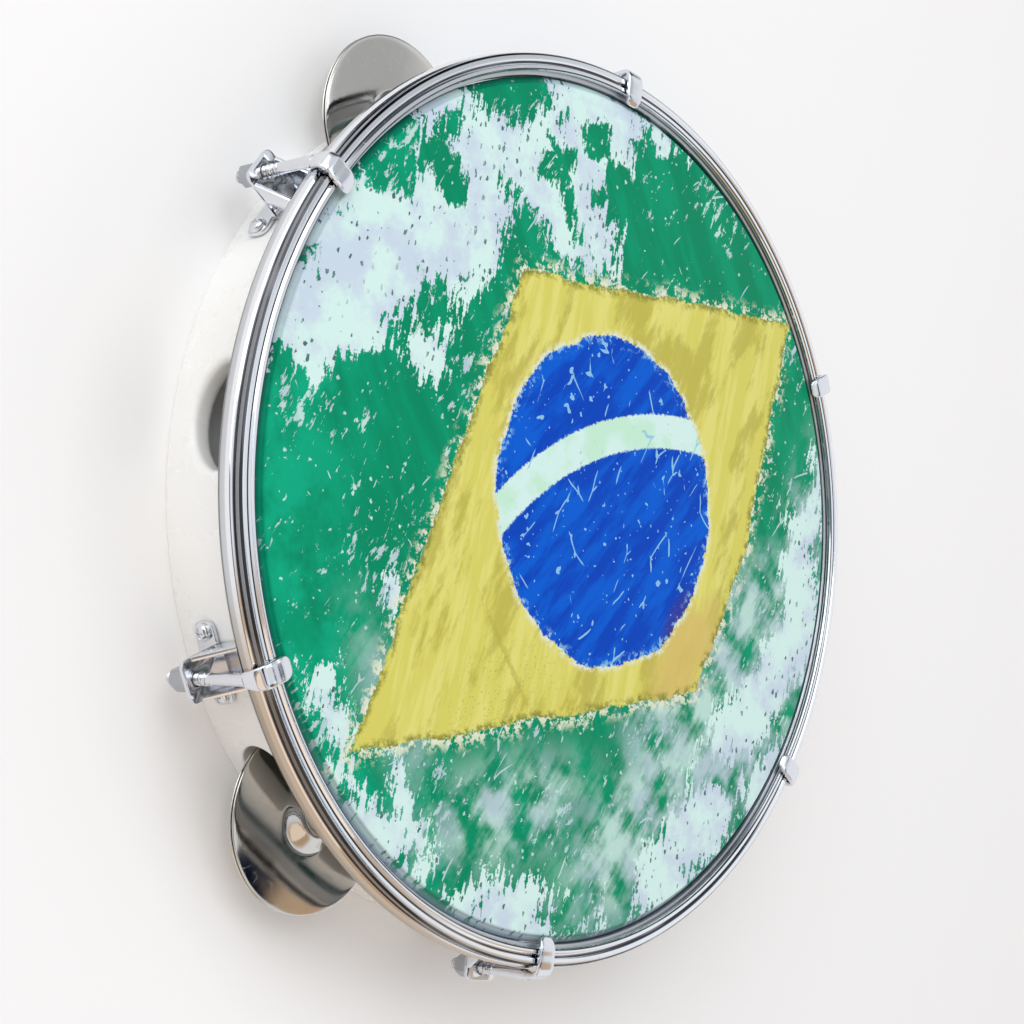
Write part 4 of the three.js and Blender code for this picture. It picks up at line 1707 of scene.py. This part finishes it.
@dataclass
class Lug:
    """The stamped lug at azimuth 0, with its two screws and the nut behind its ear."""

    ear_bore: float = 2.25 * MM
    foot_radius: float = 146.3 * MM
    sheet: float = 1.5 * MM
    rear: float = 9 * MM
    length: float = 25 * MM
    half_width: float = 7 * MM
    foot_round: float = 1.6 * MM
    tab_half_width: float = 13.5 * MM
    tab_length: float = 9 * MM
    tab_round: float = 3.4 * MM
    ear_height: float = 19 * MM
    ear_rise: float = 4.6 * MM
    ear_round: float = 3 * MM
    foot_gap: float = 0.3 * MM
    cheek_gap: float = 0.2 * MM
    cheek_short: float = 0.5 * MM
    cheek_nose: float = 2.6 * MM
    sheet_edge: float = 0.35 * MM
    nut_flats: float = 7 * MM
    nut_height: float = 7.5 * MM
    nut_bore: float = 2.3 * MM
    nut_chamfer: float = 0.62 * MM
    nut_lean: float = math.radians(28)
    nut_sides: int = 96
    nut_face: float = 0.15 * MM
    nut_groove: float = 0.12 * MM
    nut_grooves: int = 26
    bore_ease: float = 0.3 * MM
    screw_head: float = 3 * MM
    screw_head_height: float = 2 * MM
    screw_brim: float = 0.28
    screw_dome: float = 2.2
    screw_neck: float = 0.4
    screw_sides: int = 64
    screw_steps: int = 22
    screw_arm: float = 1.7 * MM
    screw_slot: float = 0.34 * MM
    screw_slot_wall: float = 0.16 * MM
    screw_slot_depth: float = 0.8 * MM
    screw_shank: float = 2.2 * MM
    screw_aside: float = 10.2 * MM
    screw_rise: float = 13.5 * MM
    seat: float = 0.3 * MM

    def _foot(self, half_width: float, length: float, corner: float) -> Mesh:
        """A curved plate on the shell's wall, from the lug's rear end forwards.

        Args:
            half_width: half its width.
            length: its length.
            corner: the radius of its corners.

        Returns:
            The closed mesh.
        """
        outline = rounded_box((-half_width, 0), (half_width, length), corner, 5)
        cuts = [half_width * fifth / 5 for fifth in range(-4, 5)]
        mesh = plate("foot", outline, self.sheet, self.sheet_edge, cuts=cuts)
        for vertex in mesh.vertices:
            aside, up, out = vertex.co
            radius, angle = self.foot_radius + out, aside / self.foot_radius
            vertex.co = (radius * math.cos(angle), radius * math.sin(angle), self.rear + up)
        return tidied(mesh)

    def mesh(self) -> Mesh:
        """The stamped sheet: foot, screw tabs, ear with its hole, and a cheek on each side.

        Returns:
            The lug as one mesh.
        """
        foot = self._foot(self.half_width, self.length, self.foot_round)
        tabs = self._foot(self.tab_half_width, self.tab_length, self.tab_round)
        near, top = self.foot_radius + self.foot_gap, ROD_AXIS + self.ear_rise
        wide, bend = self.half_width, self.ear_round
        corners = [(near, -wide, 0), (top, -wide, bend), (top, wide, bend), (near, wide, 0)]
        hole = (ROD_AXIS, 0, self.ear_bore)
        ear = plate("ear", rounded(corners, 8), self.sheet, self.sheet_edge, holes=[hole])
        ear.transform(Matrix.Translation((0, 0, self.ear_height)))
        rear, front = self.ear_height + self.cheek_gap, self.rear + self.length - self.cheek_short
        corners = [
            (near, rear, 0),
            (ROD_AXIS, rear, 1 * MM),
            (ROD_AXIS + 0.6 * MM, self.ear_height + self.sheet, 1.2 * MM),
            (self.foot_radius + self.cheek_nose, front, 1 * MM),
            (near, front, 0),
        ]
        cheeks = []
        for inset in (self.sheet - wide, wide):
            cheek = plate("cheek", rounded(corners, 5), self.sheet, self.sheet_edge)
            cheek.transform(Matrix.Translation((0, inset, 0)) @ Matrix.Rotation(math.pi / 2, 4, "X"))
            cheeks.append(cheek)
        return joined("lug", [foot, tabs, ear, *cheeks])

    def screws(self) -> Mesh:
        """Both screws of one lug: domed heads with a cross cut into each.

        Returns:
            Both screws as one mesh.
        """
        base = self.foot_radius + self.sheet
        stand = Matrix.Translation((base, 0, self.screw_rise)) @ Matrix.Rotation(math.pi / 2, 4, "Y")
        made = []
        for side in (-1, 1):
            head = self._screw_head()
            angle = side * math.asin(self.screw_aside / SHELL_RADIUS)
            head.transform(Matrix.Rotation(angle, 4, "Z") @ stand)
            made.append(head)
        return joined("screws", made)

    def _screw_head(self) -> Mesh:
        """A round head along Z with a cross recess, over a short shank.

        Returns:
            The closed mesh.
        """
        brim, height = self.screw_brim, self.screw_head_height + self.seat
        arm, slot = self.screw_arm, self.screw_slot
        angles = [side * FULL_TURN / self.screw_sides for side in range(self.screw_sides)]
        rings = []
        for out in (step / self.screw_steps for step in range(1, self.screw_steps + 1)):
            rise = height * (brim + (1 - brim) * math.sqrt(max(1 - out**self.screw_dome, 0.0)))
            radius = out * self.screw_head
            loop = []
            for x, y in ((radius * math.cos(angle), radius * math.sin(angle)) for angle in angles):
                off_slot = min(max(abs(x) - arm, abs(y) - slot), max(abs(y) - arm, abs(x) - slot))
                sunk = min(max(-off_slot / self.screw_slot_wall, 0.0), 1.0) * (1 - 0.35 * out)
                loop.append((x, y, rise - self.screw_slot_depth * sunk))
            rings.append(np.array(loop))
        flat = rings[-1] * np.array([1, 1, 0]) + np.array([0, 0, self.seat * 0.2])
        neck = flat * np.array([self.screw_neck, self.screw_neck, 1])
        return lofted("screw_head", [*rings, flat, neck, neck - np.array([0, 0, self.screw_shank])])

    def nut(self) -> Mesh:
        """A hexagon nut with chamfered ends and a threaded bore, along the rod.

        Returns:
            The closed mesh.
        """
        half = self.nut_flats / 2
        corner = half / math.cos(math.pi / 6)
        high = self.ear_height - self.seat
        low = high - self.nut_height
        rises = [self.nut_chamfer * level for level in (0.0, 0.12, 0.24, 0.36, 0.5, 0.65, 0.8, 1.0)]
        angles = [side * FULL_TURN / self.nut_sides for side in range(self.nut_sides)]
        loops = []
        for height in [low + rise for rise in rises] + [high - rise for rise in reversed(rises)]:
            cone = half - self.nut_face + min(height - low, high - height) / math.tan(self.nut_lean)
            loop = []
            for angle in angles:
                within = (angle + math.pi / 6) % (math.pi / 3) - math.pi / 6
                flat = half / math.cos(abs(within) - math.pi / 6)
                loop.append(self._on_nut(min(flat, cone, corner), angle, height))
            loops.append(loop)
        for step in range(self.nut_grooves + 1):
            ease = self.bore_ease if step in (0, self.nut_grooves) else 0.0
            radius = self.nut_bore + ease - self.nut_groove * (step % 2)
            height = high - step / self.nut_grooves * self.nut_height
            loops.append([self._on_nut(radius, angle, height) for angle in angles])
        faces = grid_faces(len(loops), self.nut_sides, wrap_rows=True, wrap_columns=True)
        return mesh_of("nut", np.concatenate(loops), faces)

    def _on_nut(self, radius: float, angle: float, height: float) -> Spot:
        """A point at a radius and angle about the rod's axis."""
        return (ROD_AXIS + radius * math.cos(angle), radius * math.sin(angle), height)


@dataclass
class Tensioners:
    """The six hooks, their lugs and screws, and the nuts that pull them."""

    hook: Hook = field(default_factory=Hook)
    lug: Lug = field(default_factory=Lug)

    def build(self, ring: CopyRing, thread: RodThread, finishes: Finishes) -> None:
        """Makes each kind of piece once and stands it at the six hooks.

        Args:
            ring: the tree that stands copies round the axis.
            thread: the tree that winds threads.
            finishes: the drum's materials.
        """
        numbers = range(1, HOOK_COUNT + 1)
        chrome = finishes.chrome
        for name, mesh, node, ends, slot in (
            ("tension_hooks", self.hook.mesh(thread, chrome), "tension_hook", ("",), Slot.HARDWARE),
            ("lugs", self.lug.mesh(), "lug", ("",), Slot.HARDWARE),
            ("lug_screws", self.lug.screws(), "lug_screw", ("a", "b"), Slot.SCREW),
        ):
            nodes = [f"{node}_{number}{end}" for number in numbers for end in ends]
            add_piece(name, ring.around(mesh, chrome), chrome, DRUM_BODY, nodes)
        nut = self.lug.nut()
        for number in numbers:
            turned = ring.at(nut, finishes.steel, (number - 1) * HOOK_STEP)
            name = f"tension_nut_{number}"
            add_piece(f"turned_nut_{number}", turned, finishes.steel, f"nut_{number}", [name])


@dataclass
class JingleSet:
    """Two cupped jingles, the damper disc between them and the pin that carries them."""

    pin_place: float = 142 * MM
    cup_radius: float = 31 * MM
    cup_sheet: float = 0.7 * MM
    bore: float = 1.9 * MM
    hub: float = 5 * MM
    dome: float = 12.5 * MM
    dome_rise: float = 4.2 * MM
    flange_rise: float = 1.3 * MM
    flange_curve: float = 0.85
    back_rim: float = 12.7 * MM
    front_rim: float = 13.3 * MM
    damper_radius: float = 24 * MM
    damper_sheet: float = 0.6 * MM
    damper_edge: float = 0.15 * MM
    pin_radius: float = 1.3 * MM
    pin_head_radius: float = 2.4 * MM
    pin_head_low: float = 0.5 * MM
    pin_head_height: float = 0.8 * MM
    pin_top: float = 32.2 * MM
    cup_segments: int = 144
    pin_segments: int = 40

    def build(self, number: int, ring: CopyRing, finishes: Finishes) -> None:
        """Makes the set and turns it to its place.

        Args:
            number: the set's number.
            ring: the tree that turns pieces about the axis.
            finishes: the drum's materials.
        """
        front, back = self._cup(Facing.HEAD, self.front_rim), self._cup(Facing.BACK, self.back_rim)
        nickel, damper, steel = finishes.nickel, finishes.damper, finishes.steel
        for prefix, word, mesh, finish, body, slot in (
            ("cupped", "jingle_front", front, nickel, f"front_{number}", Slot.JINGLE),
            ("cupped", "jingle_back", back, nickel, f"back_{number}", Slot.JINGLE),
            ("flat", "damper_disc", self._damper(), damper, f"damper_{number}", Slot.DAMPER),
            ("round", "jingle_pin", self._pin(), steel, DRUM_BODY, Slot.PIN),
        ):
            node = f"{word}_{number}"
            turned = ring.at(self._placed(mesh), finish, JINGLE_AZIMUTHS[number])
            add_piece(f"{prefix}_{node}", turned, finish, body, [node])

    def _placed(self, mesh: Mesh) -> Mesh:
        """Marks how far each point is from the pin, for the turning marks, and moves the piece to its pin.

        Args:
            mesh: the piece, about its own axis.

        Returns:
            The same mesh.
        """
        layer = mesh.uv_layers.new(name=SPUN_UV)
        for loop in mesh.loops:
            x, y, _ = mesh.vertices[loop.vertex_index].co
            layer.data[loop.index].uv = (x, y)
        mesh.transform(Matrix.Translation((self.pin_place, 0, 0)))
        return mesh

    def _cup_height(self, radius: float) -> float:
        """How far the cup's hollow side stands off its rim's plane at a radius.

        Args:
            radius: the distance from the pin.

        Returns:
            The height.
        """
        if radius >= self.dome:
            share = (self.cup_radius - radius) / (self.cup_radius - self.dome)
            return self.flange_rise * share**self.flange_curve
        share = min((self.dome - radius) / (self.dome - self.hub), 1.0)
        return self.flange_rise + self.dome_rise * share * share * (3 - 2 * share)

    def _cup(self, facing: Facing, rim: float) -> Mesh:
        """A spun cup with a rounded rim and a plain bore.

        Args:
            facing: which way its dome points.
            rim: its rim's height.

        Returns:
            The closed mesh.
        """
        stops = [*np.linspace(self.bore, self.dome, 15), *np.linspace(self.dome, self.cup_radius, 14)[1:-1]]
        hollow = [(radius, self._cup_height(radius)) for radius in stops]
        half = self.cup_sheet / 2
        rim_turn = [
            (self.cup_radius - half + half * math.sin(turn), half - half * math.cos(turn))
            for turn in np.linspace(0, math.pi, 7)
        ]
        outside = [(radius, height + self.cup_sheet) for radius, height in reversed(hollow)]
        mesh = revolved("cup", [*hollow, *rim_turn, *outside], self.cup_segments)
        if facing is Facing.BACK:
            mesh.transform(Matrix.Rotation(math.pi, 4, "X"))
        mesh.transform(Matrix.Translation((0, 0, rim)))
        return mesh

    def _damper(self) -> Mesh:
        """The flat disc between the cups.

        Returns:
            The closed mesh.
        """
        half = self.damper_sheet / 2
        outline = rounded_box((self.bore, -half), (self.damper_radius, half), self.damper_edge, 3)
        mesh = revolved("damper", outline, self.cup_segments)
        mesh.transform(Matrix.Translation((0, 0, (self.back_rim + self.front_rim) / 2)))
        return mesh

    def _pin(self) -> Mesh:
        """The nail that the jingles ride on, head at the back edge.

        Returns:
            The closed mesh.
        """
        low, shoulder = self.pin_head_low, self.pin_head_low + self.pin_head_height
        corners = [
            (0, low, 0),
            (self.pin_head_radius, low, 0.3 * MM),
            (self.pin_head_radius, shoulder, 0.2 * MM),
            (self.pin_radius, shoulder, 0.2 * MM),
            (self.pin_radius, self.pin_top, 0.4 * MM),
            (0, self.pin_top, 0),
        ]
        return revolved("pin", rounded(corners, 3), self.pin_segments)


# The studio


@dataclass(frozen=True)
class RoomPart:
    """A soft round part of the room, by its direction and reach in degrees."""

    azimuth: float
    elevation: float
    reach: float
    soft: float
    colour: Colour

    def share(self, way: Wire) -> Wire:
        """How much of a direction lies in this part.

        Args:
            way: the direction.

        Returns:
            1 well inside the part and 0 outside.
        """
        turn, lift, reach = (math.radians(value) for value in (self.azimuth, self.elevation, self.reach))
        middle = (math.cos(lift) * math.cos(turn), math.cos(lift) * math.sin(turn), math.sin(lift))
        near = way.vector("DOT_PRODUCT", middle, output="Value")
        return near.ramp(math.cos(reach + math.radians(self.soft)), math.cos(reach))


@dataclass(frozen=True)
class Lamp:
    """A square soft lamp that faces the drum."""

    name: str
    place: Spot
    size: float
    power: float
    colour: Spot

    def build(self, turn: Matrix) -> None:
        """Stands the lamp in the turned frame.

        Args:
            turn: the turned frame.
        """
        light = bpy.data.lights.new(self.name, "AREA")
        light.shape, light.size, light.energy, light.color = "SQUARE", self.size, self.power, self.colour
        spot = turn @ Vector(self.place)
        facing = spot.to_track_quat("Z", "Y").to_matrix().to_4x4()
        in_scene(self.name, light).matrix_world = Matrix.Translation(spot) @ facing


@dataclass
class Studio:
    """A pale floor, soft lamps and the camera at the photograph's angle."""

    floor_size: float = 16.0
    floor_drop: float = 0.05 * MM
    floor_colour: Colour = srgb(252, 252, 252)
    floor_roughness: float = 0.9
    camera_place: Spot = (-530.75 * MM, -18.69 * MM, 493.87 * MM)
    camera_tilt: float = 0.038
    camera_pan: float = 0.833
    camera_clip: Point = (0.05, 50)
    focal_pixels: float = 2000.0
    image_pixels: float = 1024.0
    sensor: float = 36.0
    world_strength: float = 1.01
    horizon: Colour = srgb(250, 252, 255)
    ceiling: Colour = srgb(234, 238, 244)
    ceiling_heights: Point = (0.58, 0.76)
    floor_heights: Point = (0.02, 0.12)
    lamps: tuple[Lamp, ...] = (
        Lamp("key", (-0.75, 1.15, 1.25), 1.5, 12.0, (0.98, 0.99, 1.0)),
        Lamp("fill", (-0.9, -1.2, 0.9), 1.3, 2.5, (1.0, 0.97, 0.93)),
        Lamp("side", (-1.5, 0.75, 0.5), 1.0, 4.0, (0.98, 0.99, 1.0)),
        Lamp("top", (0.35, 0.1, 1.7), 1.2, 4.0, (0.97, 0.99, 1.0)),
    )
    room: tuple[RoomPart, ...] = (
        RoomPart(-122, 20, 34, 18, srgb(202, 174, 144)),
        RoomPart(62, 14, 24, 12, srgb(78, 82, 90)),
        RoomPart(180, 6, 22, 14, srgb(122, 125, 131)),
        RoomPart(0, 90, 16, 9, srgb(20, 26, 40)),
        RoomPart(-18, 58, 11, 2, srgb(8, 18, 40)),
        RoomPart(-27, 43, 7, 3, srgb(206, 178, 148)),
        RoomPart(-14, 51, 2.2, 1.4, srgb(222, 240, 248)),
        RoomPart(25, 45, 6, 5, srgb(196, 199, 203)),
        RoomPart(15, 54, 1.5, 2, srgb(84, 104, 134)),
    )

    def build(self) -> None:
        """Makes the floor, the world, the lamps and the camera."""
        turn = Matrix.Rotation(PRINT_TURN, 4, "Z")
        self._camera(turn)
        self._floor()
        self._world()
        for lamp in self.lamps:
            lamp.build(turn)
        bpy.context.scene.view_settings.view_transform = "Standard"

    def _camera(self, turn: Matrix) -> None:
        """Stands the camera where the photograph was taken from.

        Args:
            turn: the turned frame.
        """
        lens = bpy.data.cameras.new("camera")
        lens.sensor_width = self.sensor
        lens.lens = self.focal_pixels / self.image_pixels * self.sensor
        lens.clip_start, lens.clip_end = self.camera_clip
        tilt = Matrix.Rotation(self.camera_tilt, 4, "X")
        pan = Matrix.Rotation(-self.camera_pan, 4, "Y")
        camera = in_scene("camera", lens)
        camera.matrix_world = turn @ Matrix.Translation(self.camera_place) @ tilt @ pan
        bpy.context.scene.camera = camera

    def _floor(self) -> None:
        """A plain pale floor under the back edge."""
        half, low = self.floor_size / 2, -self.floor_drop
        corners = [(-half, -half, low), (half, -half, low), (half, half, low), (-half, half, low)]
        mesh = raw_mesh("floor", corners, [(0, 1, 2, 3)])
        material = bpy.data.materials.new("pale_floor")
        material.use_nodes = True
        shader = material.node_tree.nodes["Principled BSDF"].inputs
        shader["Base Color"].default_value = self.floor_colour
        shader["Roughness"].default_value = self.floor_roughness
        shader["Specular IOR Level"].default_value = 0.0
        mesh.materials.append(material)
        in_scene("floor", mesh)

    def _world(self) -> None:
        """A pale room whose darker and warmer parts show only as the metal's reflections."""
        world = bpy.data.worlds.new("studio")
        world.use_nodes = True
        bpy.context.scene.world = world
        board = ShaderBoard(world.node_tree)
        sky = world.node_tree.nodes["Background"].inputs
        way = board.coordinates("Generated").turned(-math.degrees(PRINT_TURN))
        height = way.axis("Z")
        colour = height.ramp(*self.ceiling_heights).mixed(self.horizon, self.ceiling)
        above = height.ramp(*self.floor_heights)
        for part in self.room:
            colour = (above * part.share(way)).mixed(colour, part.colour)
        board.feed(sky["Color"], colour)
        board.feed(sky["Strength"], self.world_strength)


def main() -> None:
    """Builds the studio and then the drum, one sub-assembly after another."""
    logging.basicConfig(level=logging.INFO, format="%(name)s: %(message)s")
    Studio().build()
    finishes = Finishes()
    ring, thread = CopyRing(), RodThread()
    Shell().build(finishes.lacquer)
    Head().build(finishes.film, finishes.alloy)
    Counterhoop().build(finishes.hoop)
    Tensioners().build(ring, thread, finishes)
    for number in JINGLE_AZIMUTHS:
        JingleSet().build(number, ring, finishes)


if __name__ == "__main__":
    main()
